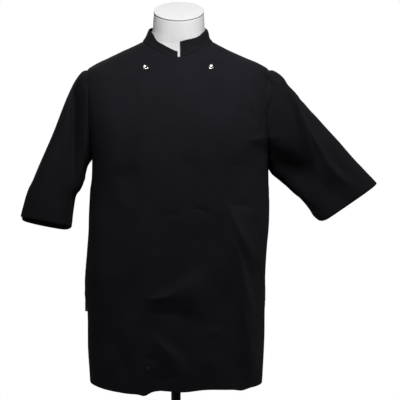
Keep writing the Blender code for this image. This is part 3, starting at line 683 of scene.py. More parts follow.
def in_scene(points):
    """Points in the tables' millimetres, in the scene's metres."""
    return (points + (CENTRE_FRONT_X, 0, 0)) * MM


def mesh_of(name, corners, faces, finish, edges=()):
    """A smooth mesh with one material."""
    mesh = bpy.data.meshes.new(name)
    mesh.from_pydata(corners, edges, faces)
    mesh.shade_smooth()
    mesh.materials.append(finish)
    return mesh


def cloth(node, points, worn, double, ring=False, finish=twill):
    """A mesh over a grid of points in table millimetres, with its grain, its wear and its wall.

    Double says how much thicker each point is, from 0 for single cloth to 1. With None there is no wall.
    """
    rows, columns = points.shape[:2]
    across, up = runs(points)
    grain = np.stack((across - across[:, [columns // 2]], up, np.zeros_like(up)), axis=-1) * MM
    index = np.arange(rows * columns).reshape(rows, columns)
    if ring:
        index = np.hstack((index, index[:, :1]))
    corners = (index[:-1, :-1], index[:-1, 1:], index[1:, 1:], index[1:, :-1])
    faces = np.stack(corners, axis=-1).reshape(-1, 4)
    mesh = mesh_of(node, in_scene(points).reshape(-1, 3).tolist(), faces.tolist(), finish)
    mesh.attributes.new("grain", "FLOAT_VECTOR", "POINT").data.foreach_set("vector", grain.ravel())
    mesh.attributes.new("worn", "FLOAT", "POINT").data.foreach_set("value", worn.ravel())
    made = show(node + "_cloth", mesh)
    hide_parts(node)
    if double is not None:
        group = made.vertex_groups.new(name="thick")
        shares = np.round((CLOTH + (TURNED - CLOTH) * double.ravel()) / TURNED, 2)
        for share in np.unique(shares):
            group.add(np.flatnonzero(shares == share).tolist(), float(share), "REPLACE")
        solid = made.modifiers.new("wall", "SOLIDIFY")
        solid.thickness, solid.offset, solid.vertex_group = TURNED * MM, -1.0, "thick"
    return made


# %% [markdown]
# ## Stitches
#
# A lockstitch shows as a row of short dashes, about 2.5 mm each, that sink a little into the cloth. A dashed
# texture would do from afar. Here every dash is a slim faceted mesh, so that a line of stitches also throws
# its tiny shadows and survives in the exported mesh. All dashes of a piece are one object, because a
# thousand objects are slow.

# %% Stitches
STITCH_PITCH, STITCH_LENGTH, STITCH_RADIUS = 3.2, 2.5, 0.32
STITCH_SEAT, STITCH_DIP = 0.35, 0.2  # the share of its radius that a dash lies out, and how deep its ends go


def inside(points, distance, axis, from_end=False):
    """The line at a distance from a grid's first or last row (axis 0) or column (axis 1)."""
    lines = np.swapaxes(points, 0, 1) if axis == 0 else points
    lines = lines[:, ::-1] if from_end else lines
    return np.array([at_lengths(line, [distance])[0] for line in lines])


def stitches(node, lines, points, outs):
    """One mesh with a dash for each stitch along the lines, lying on the cloth's face."""
    near, outs = tree_of(points.reshape(-1, 3)), outs.reshape(-1, 3)
    corners, faces = [], []
    for line in lines:
        at = np.arange(STITCH_PITCH, length_along(line)[-1] - STITCH_PITCH, STITCH_PITCH)
        middles = at_lengths(line, at)
        ways = unit(at_lengths(line, at + 1.0) - middles)
        normals = outs[[near.find(point)[1] for point in middles]]
        sides = unit(np.cross(ways, normals))
        for middle, way, out, side in zip(middles, ways, normals, sides):
            seat, first = middle + out * STITCH_RADIUS * STITCH_SEAT, len(corners)
            end, dip = way * STITCH_LENGTH / 2, out * STITCH_DIP
            waist = [seat + turn * STITCH_RADIUS for turn in (side, out, -side, -out)]
            corners += [seat - end - dip, *waist, seat + end - dip]
            for k in range(4):
                one, two = first + 1 + k, first + 1 + (k + 1) % 4
                faces += [(first, two, one), (first + 5, one, two)]
    mesh = mesh_of("thread", in_scene(np.array(corners)).tolist(), faces, thread)
    print(node, "has", len(corners) // 6, "stitches")
    return show(node + "_thread", mesh)


def sewn_piece(node, grid, worn, double, lines, ring=False):
    """A piece of cloth, and its lines of stitches as a second piece."""
    return cloth(node, grid, worn, double, ring), stitches(node, lines, grid, grid_normals(grid, ring))


# %% Grooves and hems
# height or depth, and width: of grooves, of grooves under stitches, of puckers beside them and of wear
SEAM_GROOVE, EDGE_GROOVE, HEM_GROOVE = (0.35, 1.3), (0.25, 0.8), (0.4, 0.9)
EDGE_STITCHED, HEM_STITCHED = (0.15, 1.2), (0.3, 1.6)
SEAM_PUCKERS, EDGE_PUCKERS, HEM_PUCKERS = (0.22, 7), (0.08, 5), (0.3, 9)
SEAM_WEAR, EDGE_WEAR, HEM_WEAR = (0.2, 1.2), (0.15, 1.4), (0.5, 1.8)


def doubled(distance, depth):
    """1 where the cloth is turned back, as far as a depth from its edge, and 0 beyond it."""
    return 1 - eased(depth + 0.5, depth + 2.5, distance)


def hem_form(across, to_hem, seed, hem_groove, stitched):
    """How far out a hem's puckers lie, less its rounded edge and the groove of its stitches."""
    height = puckers(across, seed, to_hem - HEM_DEPTH + 2, HEM_PUCKERS)
    return height - band(to_hem, hem_groove) - band(to_hem - HEM_DEPTH, stitched)


# %% [markdown]
# ## Fronts and back
#
# The three body panels come from the same surface, so they meet exactly at the seams. The lower front runs
# on behind the upper one to a hidden edge. The upper front lies one layer further out as far as that, then
# eases back down.

# %% Rows of the panels
HEM_ROW_MM = 67.0  # between the first two rows of BODY
armhole_shares = np.arange(1, 65) / 64
# rows beside the armhole lie closest at its foot and its top
armhole_rise = 0.75 * (1 - np.cos(np.pi * armhole_shares)) / 2 + 0.25 * armhole_shares
PANEL_ROWS = np.concatenate((
    np.array(HEM_LINES) / HEM_ROW_MM,
    np.linspace(HEM_LINES[-1] / HEM_ROW_MM, VENT_TOP, 40)[1:],
    np.linspace(VENT_TOP, UNDERARM, 98)[1:],
    UNDERARM + (SHOULDER_POINT - UNDERARM) * armhole_rise,
    np.linspace(SHOULDER_POINT, NECK_SEAM - 0.4, 26)[1:],
    NECK_SEAM - np.array((0.25, 0.15, 0.07, 0.001, 0.0)),
))
FLAT = np.zeros(len(PANEL_ROWS))
FRONT_COLUMNS, BACK_COLUMNS = 104, 176  # evenly spaced ones, between those at the edges
vent_rows = PANEL_ROWS <= VENT_TOP
print("a body panel has", len(PANEL_ROWS), "rows,", vent_rows.sum(), "of them beside its vent")


def overlap_ends(row):
    """Angles of the upper front's free edge and of the lower front's hidden one."""
    fine = np.linspace(-1.2, 1.2, 500)
    lap_x = between(BODY, row)[9]
    return np.interp((lap_x, -UNDER_EDGE * lap_x), body_points(fine, row)[:, 0], fine)


# %% A body panel
def panel(node, angle_rows, lifts, dips, sewn, seed):
    """A body panel, its stitches and its outer face. Sewn says which of its sides, first and last, are seams.

    Each dip lets the hem hang lower near one X: its depth, that X and how far it spreads. The rows of points
    get the worn shape, and then their edges.
    """
    grid, inward = [], []
    for angles, lift, row in zip(angle_rows, lifts, PANEL_ROWS):
        points, outward, _ = body_frame(angles, row)
        from_side = np.arccos(np.clip(np.abs(np.sin(angles)), 0, 1))
        at_right = RIGHT_TUCK * eased(*RIGHT_TUCK_ROWS, row) * (angles < 0)
        tuck = VENT_TUCK * bump(from_side, VENT_TUCK_ANGLE) + at_right * bump(from_side, RIGHT_TUCK_ANGLE)
        points = points + outward * (lift - tuck * (1 - eased(VENT_TOP - VENT_EASE, VENT_TOP, row)))[:, None]
        for depth, near_x, spread in dips:
            points[:, 2] -= depth * bump(points[:, 0] - near_x, spread) * (1 - eased(0.0, 2.0, row))
        grid.append(points)
        inward.append(-ALLOWANCE * outward)
    grid = worn_shape(np.array(grid))
    allowance = grid + np.array(inward)
    seams, edges = [grid[-1]], []
    for is_sewn, column in zip(sewn, (0, -1)):
        if is_sewn:
            seams.append(grid[~vent_rows, column])
        edges.append(grid[vent_rows, column] if is_sewn else grid[:, column])
    to_seam, to_edge, to_hem = far_from(grid, seams), far_from(grid, edges), far_from(grid, [grid[0]])
    up_run, out = runs(grid)[1], grid_normals(grid)
    across = grid[..., 0] + grid[..., 1] * 0.3
    height = hem_form(across, to_hem, seed + 1, HEM_GROOVE, HEM_STITCHED)
    height -= band(to_seam, SEAM_GROOVE) + band(to_edge, EDGE_GROOVE)
    height -= band(to_edge - EDGE_STITCH, EDGE_STITCHED)
    height += puckers(up_run + across, seed, to_seam, SEAM_PUCKERS) * (1 - bump(to_seam, 2))
    height += puckers(up_run, seed + 2, to_edge - EDGE_STITCH, EDGE_PUCKERS)
    double = np.maximum(doubled(to_edge, EDGE_STITCH + 0.5), doubled(to_hem, HEM_DEPTH))
    height += 0.15 * double * eased(0.5, 2.0, np.minimum(to_hem, to_edge))
    grid = grid + out * height[..., None]
    grid[-1] = allowance[-1]
    for is_sewn, column in zip(sewn, (0, -1)):
        if is_sewn:
            grid[~vent_rows, column] = allowance[~vent_rows, column]
    worn = np.maximum.reduce((band(to_edge, EDGE_WEAR), band(to_hem, HEM_WEAR), band(to_seam, SEAM_WEAR)))
    lines = [inside(grid, HEM_DEPTH, 0)]
    for is_sewn, last in zip(sewn, (False, True)):
        line = inside(grid[vent_rows] if is_sewn else grid, EDGE_STITCH, 1, last)
        lines.append(line[HEM_LINES.index(HEM_DEPTH):])
    return *sewn_piece(node, grid, worn, double, lines), grid


# %% Lower front, on the wearer's right
angle_rows = [spaced_angles(row, -side_angle(row), overlap_ends(row)[1], SEAM_LINES, EDGE_LINES,
                            FRONT_COLUMNS) for row in PANEL_ROWS]
dips = ((11.8, -104.0, 56.0), (6.2, -74.0, 12.0), (3.0, -165.0, 35.0))
front_right, front_right_thread, _ = panel("front_right", angle_rows, FLAT, dips, (True, False), 21)

# %% Upper front, on the wearer's left
LAYER_EASE = (3.0, 18.0)  # degrees past the lower front's edge in which the upper one comes back down
angle_rows, lifts = [], []
for row in PANEL_ROWS:
    free_edge, hidden_edge = overlap_ends(row)
    angles = spaced_angles(row, free_edge, side_angle(row), EDGE_LINES, SEAM_LINES, FRONT_COLUMNS)
    angle_rows.append(angles)
    lifts.append(LAYER * (1 - eased(*LAYER_EASE, np.degrees(angles - hidden_edge))))
dips = ((2.5, -50.0, 60.0), (4.5, 14.0, 34.0), (2.0, 130.0, 45.0), (4.0, 146.0, 14.0))
front_left, front_left_thread, upper_grid = panel("front_left", angle_rows, lifts, dips, (False, True), 31)

# %% Back
angle_rows = [spaced_angles(row, math.pi - side_angle(row), math.pi + side_angle(row), SEAM_LINES, SEAM_LINES,
                            BACK_COLUMNS) for row in PANEL_ROWS]
back, back_thread, _ = panel("back", angle_rows, FLAT, (), (True, True), 41)

# %% [markdown]
# ## Sleeves
#
# A set-in sleeve is a tube whose upper end is sewn round the armhole. Its head is cut a little longer than
# the armhole and eased in, which makes it stand up in a soft roll just outside the seam. The rings run from
# the armhole through nine sections to the hem. The hem isn't quite square: it hangs lower behind, so the
# front shows a thin dark crescent of the sleeve's inside.

# %% Sleeve tables
# outer_x, outer_z, inner_x, inner_z, front, back, middle_y
RIGHT_SLEEVE = (
    (220, 1381, 207, 1166, 65, 65, 0),
    (232, 1366, 211, 1152, 65, 66, 0),
    (243, 1345, 213, 1142, 64, 66, -1),
    (260, 1305, 214, 1133, 63, 66, -2),
    (282, 1250, 218, 1123, 62, 66, -3),
    (306, 1195, 224, 1112, 62, 65, -4),
    (328, 1143, 234, 1099, 62, 64, -5),
    (346, 1096, 241, 1072, 61, 63, -6),
    (360, 1049, 248, 1027, 60, 62, -7),
)
LEFT_SLEEVE = (
    (223, 1383, 216, 1148, 61, 61, 0),
    (241, 1369, 229, 1137, 60, 61, 0),
    (252, 1352, 243, 1125, 58, 60, 0),
    (284, 1314, 259, 1110, 54, 57, -1),
    (322, 1272, 276, 1096, 50, 53, -2),
    (361, 1230, 292, 1081, 46, 49, -3),
    (398, 1189, 304, 1066, 43, 46, -4),
    (429, 1157, 313, 1053, 41, 43, -5),
    (455, 1129, 327, 1041, 40, 41, -6),
)
# how much lower the hem hangs in the middle of its front and its back, on the shirt's right and left
HEM_BOWS, HEM_BOW_ROWS = {-1: (-8.0, 17.0), 1: (0.0, 11.5)}, (6.2, 9.0)
SLEEVE_SQUARE = 3.2  # a sleeve's sections are flatter than ellipses, as the body's are
SLEEVE_ROW_MM = 50.0  # between a sleeve's last two sections
SLEEVE_ROWS = np.concatenate((
    (0.0, 0.001, 0.05, 0.11, 0.19, 0.29, 0.42, 0.56, 0.72, 0.86),
    np.linspace(1.0, 8.35, 84),
    9.0 - np.array(HEM_LINES[::-1]) / SLEEVE_ROW_MM,
))
SEAM_TURNS = np.array((0.004, 0.011, 0.02, 0.035))  # extra points beside the seam under the arm
SLEEVE_GIRTH, PAST_SEAM = 420.0, 200.0  # round a sleeve, and from its top line to beyond its seam
ARMHOLE_GROOVE, UNDER_GROOVE, CUFF_GROOVE, CUFF_STITCHED = (0.4, 1.4), (0.4, 1.5), (0.5, 0.9), (0.45, 1.4)
HEAD_ROLL, HEAD_PUCKERS = (0.8, 5), (0.25, 15)  # the sleeve head stands up in a roll beside its seam
ARMHOLE_WEAR, CUFF_WEAR = (0.3, 1.5), (0.6, 1.8)


def closed(ring):
    """A ring of points with its first one again at its end."""
    return np.vstack((ring, ring[:1]))


# %% A sleeve
def sleeve(node, side, table, seed):
    """One sleeve: rings of points from the armhole to the hem, their worn shape, and their edges."""
    turns = np.sort(np.concatenate((np.linspace(0, math.tau, 128, endpoint=False),
                                    math.pi - SEAM_TURNS, math.pi + SEAM_TURNS)))
    armhole, way_out = [], []
    for turn in turns:
        row = UNDERARM + (SHOULDER_POINT - UNDERARM) * (1 + math.cos(turn)) / 2
        angle = side_angle(row) if turn <= math.pi else math.pi - side_angle(row)
        point, outward, _ = body_frame(np.array([side * angle]), row)
        armhole.append(point[0])
        way_out.append(outward[0])
    rings = [np.array(armhole)]
    reach, depth = np.cos(turns), np.sin(turns)
    size = (np.abs(reach) ** SLEEVE_SQUARE + np.abs(depth) ** SLEEVE_SQUARE) ** (1 / SLEEVE_SQUARE)
    reach, depth = reach / size, depth / size
    for outer_x, outer_z, inner_x, inner_z, front, rear, middle_y in table:
        x = (outer_x + inner_x) / 2 + (outer_x - inner_x) / 2 * reach
        z = (outer_z + inner_z) / 2 + (outer_z - inner_z) / 2 * reach
        y = middle_y - np.where(depth > 0, front, rear) * depth
        rings.append(np.stack((side * x, y, z), axis=-1))
    control = np.array(rings).reshape(len(rings), -1)
    grid = np.array([between(control, row).reshape(-1, 3) for row in SLEEVE_ROWS])
    down = unit(grid[-1].mean(axis=0) - grid[-16].mean(axis=0))  # along the sleeve, over its last rows
    in_front, behind = HEM_BOWS[side]
    bow = np.where(depth > 0, in_front, -behind) * depth
    grid += bow[:, None] * down * eased(*HEM_BOW_ROWS, SLEEVE_ROWS)[:, None, None]
    # rows from here on run from the hem up, and round the sleeve to the left as seen from outside
    order = slice(None, None, -1) if side > 0 else slice(None)
    grid, turns, way_out = worn_shape(grid)[::-1, order], turns[order], np.array(way_out)[order]
    armhole = grid[-1].copy()
    out = grid_normals(grid, ring=True)
    across, up = runs(grid)
    to_armhole, to_hem = far_from(grid, [closed(armhole)]), far_from(grid, [closed(grid[0])])
    to_under = far_from(grid, [grid[:, np.argmin(np.abs(turns - math.pi))]])
    at_top = np.clip(np.cos(turns), 0, 1)
    round_top = (across - across[:, [np.argmin(np.abs(turns))]]) * side
    round_top = np.where(round_top > PAST_SEAM, round_top - SLEEVE_GIRTH, round_top)
    folds = relief(np.stack((round_top, to_armhole), axis=-1), SLEEVE_FOLDS)
    height = folds * eased(-0.2, 0.6, np.cos(turns))
    height += swell(across, up, seed, 0.5) * eased(10, 60, to_armhole)
    height += band(to_armhole - 7, HEAD_ROLL) * at_top**0.5
    height += puckers(across, seed + 1, to_armhole, HEAD_PUCKERS, (11, 24)) * (0.3 + 0.7 * at_top)
    height += hem_form(across, to_hem, seed + 2, CUFF_GROOVE, CUFF_STITCHED)
    height -= band(to_armhole, ARMHOLE_GROOVE) + band(to_under, UNDER_GROOVE)
    double = doubled(to_hem, HEM_DEPTH)
    height += 0.3 * double * eased(0.5, 2.0, to_hem)
    grid = grid + out * height[..., None]
    grid[-1] = armhole - ALLOWANCE * way_out
    worn = np.maximum(band(to_hem, CUFF_WEAR), band(to_armhole, ARMHOLE_WEAR))
    return sewn_piece(node, grid, worn, double, [closed(inside(grid, HEM_DEPTH, 0))], ring=True)


sleeve_right, sleeve_right_thread = sleeve("sleeve_right", -1, RIGHT_SLEEVE, 51)
sleeve_left, sleeve_left_thread = sleeve("sleeve_left", 1, LEFT_SLEEVE, 61)

# %% [markdown]
# ## Stand collar
#
# The collar is a stiffened band, two plies of twill round an interlining, so it keeps a crisp edge and
# hardly wrinkles. It stands on the neck seam from one side of the centre front round to the other. The
# wearer's right end is low, and the left one is cut square. A line of stitches runs 5 mm inside its edges.

# %% Collar
# degrees from centre front, height of the upper edge on the wearer's left, and on the right
COLLAR_TOP = (
    (2, 1451.0, 1430.0),
    (10, 1453.5, 1434.0),
    (21, 1456.5, 1440.0),
    (34, 1459.0, 1447.5),
    (44, 1462.0, 1452.5),
    (51, 1465.0, 1459.0),
    (60, 1471.5, 1470.0),
    (74, 1478.0, 1477.0),
    (90, 1480.0, 1479.0),
    (135, 1486.0, 1486.0),
    (180, 1491.0, 1491.0),
)
COLLAR_TOP_SIDE, COLLAR_TOP_FRONT, COLLAR_TOP_BACK = 66.5, 60.0, 66.0
COLLAR_ENDS = (math.radians(5.0), math.radians(360.2))
COLLAR_HOLLOW, COLLAR_ROLL = 1.2, 1.4
NECK_ROLL, NECK_GROOVE, NECK_WEAR = (0.9, 5), (1.6, 1.3), (0.3, 1.5)
COLLAR_GROOVE, COLLAR_STITCHED, COLLAR_PUCKERS, COLLAR_WEAR = (0.7, 0.8), (0.3, 0.9), (0.15, 4), (0.8, 1.8)
# where grid lines lie, as shares of the band's height
COLLAR_SHARES = np.array((
    0.0, 0.01, 0.03, 0.07, 0.13, 0.22, 0.32, 0.42, 0.52, 0.61, 0.69, 0.75, 0.79, 0.82, 0.85, 0.88, 0.92, 0.95,
    0.975, 0.99, 1.0))


def collar_edge(angles):
    """The height of the collar's upper edge at each angle, its corners rounded by a moving average."""
    degrees, known = np.degrees(angles), np.array(COLLAR_TOP, float).T
    is_right = degrees > 180
    from_front = np.where(is_right, np.abs(360 - degrees), degrees)
    near = from_front[:, None] + np.linspace(-4, 4, 17)
    heights = [np.interp(near, known[0], side).mean(axis=1) for side in known[1:]]
    return np.where(is_right, heights[1], heights[0]), heights[0]


angles = spaced_angles(NECK_SEAM, *COLLAR_ENDS, EDGE_LINES, EDGE_LINES, 140)
seam, seam_out, _ = body_frame(angles, NECK_SEAM)
top_z, left_z = collar_edge(angles)
sine, cosine = np.sin(angles), np.cos(angles)
half_depth = np.where(cosine > 0, COLLAR_TOP_FRONT, COLLAR_TOP_BACK)
reach = ((sine / COLLAR_TOP_SIDE) ** 2 + (cosine / half_depth) ** 2) ** -0.5
top = np.stack((reach * sine, -reach * cosine, top_z), axis=-1)
# a lower edge lies nearer to the seam, on the same slope
share_up = (top_z - seam[:, 2]) / (left_z - seam[:, 2])
top[:, :2] = seam[:, :2] + (top[:, :2] - seam[:, :2]) * share_up[:, None]
shares = COLLAR_SHARES[:, None]
grid = seam + (top - seam) * shares[..., None]
# the band curves in a little, and on the wearer's left it rolls out again under its edge
lean = -COLLAR_HOLLOW * np.sin(np.pi * shares)
lean = lean - COLLAR_ROLL * np.sin(2 * np.pi * shares) * eased(0.5, 0.9, sine)
grid = worn_shape(grid + grid_normals(grid) * lean[..., None])
allowance = grid[0] - ALLOWANCE * seam_out
out = grid_normals(grid)
to_seam, to_edge = far_from(grid, [grid[0]]), far_from(grid, [grid[-1], grid[:, 0], grid[:, -1]])
across, up = runs(grid)
height = band(to_seam - 2, NECK_ROLL) - band(to_seam, NECK_GROOVE) - band(to_edge, COLLAR_GROOVE)
height += swell(across, up, 5, 0.25) - band(to_edge - COLLAR_STITCH, COLLAR_STITCHED)
height += puckers(across, 71, to_edge - COLLAR_STITCH, COLLAR_PUCKERS)
grid = grid + out * height[..., None]
grid[0] = allowance
worn = np.maximum(band(to_edge, COLLAR_WEAR), band(to_seam, NECK_WEAR))
lines = [inside(grid, COLLAR_STITCH, 0, True), inside(grid, COLLAR_STITCH, 1)[2:-5],
         inside(grid, COLLAR_STITCH, 1, True)[2:-5]]
double = np.ones(grid.shape[:2])  # the band is as thick all over as a turned edge
collar, collar_thread = sewn_piece("collar", grid, worn, double, lines)

# %% [markdown]
# ## Press studs and the tab
#
# A capped press stud is a thin brass disc, pressed to a raised rim round a dished middle. A turned profile
# makes it: a few points joined smoothly, then spun with the Screw modifier. Each one sits square on the
# cloth where the solids have it.

# %% Turned pieces
def smooth_profile(points, steps=5):
    """A profile through the points as a soft curve, a Catmull-Rom spline."""
    known = np.array(points, float)
    padded = np.vstack((known[0] * 2 - known[1], known, known[-1] * 2 - known[-2]))
    found = []
    for before, start, end, after in zip(padded, padded[1:], padded[2:], padded[3:]):
        first, second = end - before, 2 * before - 5 * start + 4 * end - after
        third = 3 * start - before - 3 * end + after
        for t in np.arange(steps) / steps:
            found.append(0.5 * (2 * start + first * t + second * t**2 + third * t**3))
    found.append(known[-1])
    return np.maximum(found, (0, -1e9))  # no point passes the axis


def turned(name, node, profile, finish, steps=64):
    """Spins a profile of (radius, height) in millimetres, listed from the top down, round Z."""
    corners = [(radius * MM, 0, height * MM) for radius, height in profile]
    edges = [(k, k + 1) for k in range(len(corners) - 1)]
    made = show(name, mesh_of(name, corners, [], finish, edges))
    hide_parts(node)
    screw = made.modifiers.new("turned", "SCREW")
    screw.steps = screw.render_steps = steps
    screw.use_merge_vertices, screw.merge_threshold, screw.use_smooth_shade = True, 0.00001, True
    return made


# %% Studs
STUD_PROFILE = (
    (0, 1.25), (2.0, 1.3), (3.5, 1.6), (4.3, 2.25), (5.1, 2.6), (5.9, 2.3), (6.4, 1.3), (6.6, 0.3),
    (6.3, 0.0), (0, 0.0))
face, face_out = upper_grid.reshape(-1, 3), grid_normals(upper_grid).reshape(-1, 3)
for node, x, z, size in STUDS:
    index = np.argmin(np.hypot(face[:, 0] - x, face[:, 2] - z))
    profile = smooth_profile([(radius * size, height * size) for radius, height in STUD_PROFILE])
    # the low stud gets the darker copy of the nickel, which is painted shade
    stud = turned(node + "_cap", node, profile, nickel if size == 1.0 else shaded_nickel, 40)
    turn = Vector(face_out[index]).to_track_quat("Z", "Y").to_matrix().to_4x4()
    stud.matrix_world = Matrix.Translation(Vector(in_scene(face[index]))) @ turn
    print(node, "sits at", [round(v, 3) for v in stud.matrix_world.translation])

# %% [markdown]
# The tab is a short loop of grey tape, folded in half and caught in the side seam at the top of the vent. It
# is drawn as the tape's line seen from above, a long U, and pulled up into a strip.

# %% Tab
TAPE_WALL = 0.35
low, high = (Vector(corner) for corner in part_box("side_tab"))
turn_radius, middle_y = (high.y - low.y) / 2, (low.y + high.y) / 2
bend = np.linspace(0.5, 1.5, 9) * math.pi
line = [(high.x, low.y),
        *[(low.x + turn_radius * (1 + math.cos(a)), middle_y - turn_radius * math.sin(a)) for a in bend],
        (high.x, high.y)]
heights = np.linspace(low.z, high.z, 24)
corners = [(x, y, z) for z in heights for x, y in line]
count = len(line)
faces = [(row * count + k, (row + 1) * count + k, (row + 1) * count + k + 1, row * count + k + 1)
         for row in range(len(heights) - 1) for k in range(count - 1)]
tab = show("tab", mesh_of("tab", corners, faces, tape))
solid = tab.modifiers.new("wall", "SOLIDIFY")
solid.thickness, solid.offset = TAPE_WALL * MM, -1.0
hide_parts("side_tab")
print("the tab is", round((high.z - low.z) / MM), "mm tall")

# %% [markdown]
# ## The form
#
# The form follows the shirt's own sections, drawn in under the cloth, and closes over the shoulders into a
# neck. Little of it shows: the neck, and the dark inside of the skirt from below. It is a stack of rings,
# smoothed by being finely spaced, with a flat foot.

# %% Form
# how far the form lies inside the cloth at each row of BODY
FORM_IN = (24, 24, 22, 24, 29, 33, 34, 32, 28, 23, 18, 14, 10.5, 7, 4.0, 3.0, 2.8, 2.7, 2.7, 4.0)
FORM_FOOT = 1.5  # the row of BODY at its foot
# z, half_width, front, back, tilt
NECK = (
    (1461, 66.0, 54.5, 62.5, 0.25),
    (1480, 59.5, 54.0, 58.5, 0.28),
    (1496, 58.5, 53.5, 56.0, 0.34),
    (1518, 57.0, 53.0, 53.0, 0.396),
)
NECK_SHIFT = 2.3  # the neck stands this far to the wearer's left of the shirt's centre front
around = np.linspace(0, math.tau, 120, endpoint=False)
rings = []
for row in np.linspace(FORM_FOOT, NECK_SEAM, 90):
    points, outward, _ = body_frame(around, row)
    rings.append(points - np.interp(row, range(len(FORM_IN)), FORM_IN) * outward)
# the foot rounds over to a flat underside, which closes to its middle
foot = rings[0] * (0.93, 0.93, 1) - (0, 0, 7.0)
foot[:, 2] = foot[:, 2].min()
edge = rings[0] * (0.985, 0.985, 1) - (0, 0, 3.0)
rings = [foot * (0.02, 0.02, 1), foot * (0.9, 0.9, 1), foot, edge] + rings
for at in np.linspace(0, len(NECK) - 1, 22):
    z, half_width, front, rear, tilt = between(NECK, at)
    x, y = half_width * np.sin(around), -np.where(np.cos(around) > 0, front, rear) * np.cos(around)
    rings.append(np.stack((x + NECK_SHIFT, y, z + tilt * y), axis=-1))
top = rings[-1]
middle = top.mean(axis=0)
rings += [middle + (top - middle) * 0.97, middle + (top - middle) * 0.02]
grid = np.array(rings)
cloth("form", grid, np.zeros(grid.shape[:2]), None, ring=True, finish=jersey)
print("form is", round(float(np.ptp(grid[..., 2]))), "mm tall")

# %% Neck plate
CAP_RADIUS, CAP_THICK, CAP_ROUND, CAP_GAP = 57.5, 4.0, 1.4, 0.5
cap_profile = [(0, CAP_THICK), (CAP_RADIUS - 6, CAP_THICK)]
for turn in np.linspace(0, math.pi / 2, 8):
    cap_profile.append((CAP_RADIUS - CAP_ROUND + CAP_ROUND * math.sin(turn),
                        CAP_THICK - CAP_ROUND + CAP_ROUND * math.cos(turn)))
cap_profile += [(CAP_RADIUS, 0.3), (CAP_RADIUS - 0.4, 0), (0, 0)]
cap = turned("neck_plate", "neck_cap", cap_profile, plate, 96)
neck_z, slope = NECK[-1][0], math.atan(NECK[-1][4])
seat = Vector(((CENTRE_FRONT_X + NECK_SHIFT) * MM, 0, (neck_z + CAP_GAP / math.cos(slope)) * MM))
cap.matrix_world = Matrix.Translation(seat) @ Matrix.Rotation(slope, 4, "X")
print("the neck plate slopes", round(math.degrees(slope), 1), "degrees")

# %% [markdown]
# ## Stand
#
# A steel tube, and a spun steel base that is heavy enough not to tip. A boss with a collar holds the tube.

# %% Pole and base
POLE_RADIUS, BASE_RADIUS, BASE_THICK, BOSS_RADIUS, BOSS_HEIGHT = 11.0, 190.0, 10.0, 24.0, 34.0
POLE_BEVEL = 0.6
pole_low, pole_high = (corner.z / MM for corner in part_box("pole"))
pole_profile = [
    (0, pole_high), (POLE_RADIUS - POLE_BEVEL, pole_high), (POLE_RADIUS, pole_high - POLE_BEVEL),
    (POLE_RADIUS, pole_low + POLE_BEVEL), (POLE_RADIUS - POLE_BEVEL, pole_low), (0, pole_low)]
turned("pole_tube", "pole", pole_profile, coat, 64)
base_profile = [
    (0, BOSS_HEIGHT), (POLE_RADIUS + 2.5, BOSS_HEIGHT), (POLE_RADIUS + 3.6, BOSS_HEIGHT - 0.8),
    (POLE_RADIUS + 4.6, BOSS_HEIGHT - 4), (POLE_RADIUS + 6.5, BOSS_HEIGHT - 12),
    (BOSS_RADIUS - 2, BASE_THICK + 5), (BOSS_RADIUS + 6, BASE_THICK + 0.6), (BOSS_RADIUS + 9, BASE_THICK),
    (BASE_RADIUS - 6, BASE_THICK), (BASE_RADIUS - 3, BASE_THICK - 0.6), (BASE_RADIUS - 0.8, BASE_THICK - 2.6),
    (BASE_RADIUS, BASE_THICK - 5), (BASE_RADIUS, 0.8), (BASE_RADIUS - 0.8, 0), (0, 0)]
turned("base_plate", "base", base_profile, coat, 128)
print("the pole is", round(pole_high - pole_low), "mm long")

# %% [markdown]
# ## What each piece was cut from
# A sheet of cloth keeps its area when it is worn.

# %% [markdown]
# ## Floor, light and camera
#
# The floor is a pale matt disc that fades out at its rim, so that it runs into the white surround from any
# side. The main light hangs close in front and above, as in a product studio, and makes the chest lighter
# than the hem. One from the wearer's left grazes the folds, so that their crests stand out, and a weak one
# from the other side softens their shadows. The last is behind and lets the back be seen. The surround is
# white where the camera sees it, and much dimmer as a light.

# %% Floor
FLOOR_RADIUS, FADE_FROM, FADE_TO = 3.2, 1.0, 3.136
floor_paint, tree, shader = new_material("pale matt floor paint", {
    "Base Color": linear("#f2f2f2"), "Roughness": 0.9, "Specular IOR Level": 0.1})
place = add(tree, "TexCoord").outputs["Object"]
far = add(tree, "VectorMath", {"operation": "LENGTH"}, {0: place}).outputs["Value"]
fade = add(tree, "MapRange", {"interpolation_type": "SMOOTHSTEP"}, {
    "Value": far, "From Min": FADE_FROM, "From Max": FADE_TO}).outputs[0]
clear = add(tree, "BsdfTransparent").outputs[0]
mix = add(tree, "MixShader", None, {0: fade, 1: shader.outputs[0], 2: clear}).outputs[0]
plug(tree, tree.nodes["Material Output"], {"Surface": mix})
made = bmesh.new()
bmesh.ops.create_circle(made, cap_ends=True, radius=FLOOR_RADIUS, segments=96)
mesh = bpy.data.meshes.new("floor")
made.to_mesh(mesh)
made.free()
mesh.materials.append(floor_paint)
floor = bpy.data.objects.new("floor", mesh)
floor.location.z = -0.0005
bpy.context.scene.collection.objects.link(floor)
print("the floor fades out", FADE_TO, "m from its middle")


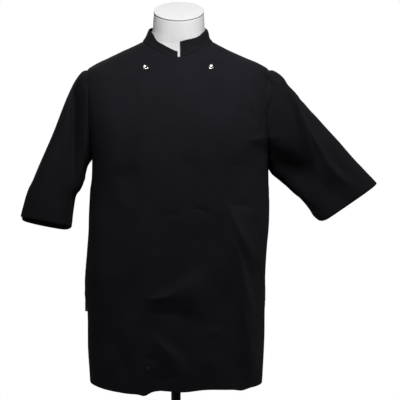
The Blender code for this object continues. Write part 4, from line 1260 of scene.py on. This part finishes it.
# %% Lights
def area_light(name, place, aim, size, power):
    """A rectangular lamp at a place, aimed at a point. It isn't seen itself."""
    data = bpy.data.lights.new(name, "AREA")
    data.shape, data.size, data.size_y, data.energy = "RECTANGLE", *size, power
    lamp = bpy.data.objects.new(name, data)
    lamp.location = place
    lamp.rotation_euler = (Vector(aim) - Vector(place)).to_track_quat("-Z", "Y").to_euler()
    lamp.visible_camera = False
    bpy.context.scene.collection.objects.link(lamp)


area_light("key", (0.1, -0.8, 2.18), (0.05, 0, 1.32), (0.6, 0.45), 13.8)
area_light("side", (2.4, -0.2, 1.6), (0.1, 0, 1.05), (0.6, 0.9), 10)
area_light("fill", (-2.3, -0.8, 0.8), (-0.1, 0, 1.0), (0.6, 0.9), 3)
area_light("behind", (-0.6, 2.8, 2.9), (0.05, 0, 1.1), (2.0, 1.4), 22)
SURROUND_SEEN, SURROUND_LIGHT = 1.0, 0.045
world = bpy.data.worlds.new("studio")
bpy.context.scene.world = world
world.use_nodes = True
tree = world.node_tree
is_seen = add(tree, "LightPath").outputs["Is Camera Ray"]
plug(tree, tree.nodes["Background"], {
    "Color": (1, 1, 1, 1), "Strength": span(tree, is_seen, 0.0, 1.0, SURROUND_LIGHT, SURROUND_SEEN)})
print("the lamps have", sum(lamp.energy for lamp in bpy.data.lights), "W in all")

# %% Camera
CAMERA_DISTANCE, CAMERA_HEIGHT, AIM = 5.0, 1.468, Vector((0.0557, 0.0, 1.0880))
VIEW_WIDTH = 0.92  # metres that the picture spans at the form
data = bpy.data.cameras.new("camera")
camera = bpy.data.objects.new("camera", data)
camera.location = (AIM.x, -CAMERA_DISTANCE, CAMERA_HEIGHT)
camera.rotation_euler = (AIM - camera.location).to_track_quat("-Z", "Y").to_euler()
data.sensor_width = 36.0
data.lens = data.sensor_width * (AIM - camera.location).length / VIEW_WIDTH
bpy.context.scene.collection.objects.link(camera)
bpy.context.scene.camera = camera
bpy.context.scene.view_settings.view_transform = "Standard"
bpy.context.scene.view_settings.look = "None"
print("the lens is", round(data.lens), "mm")
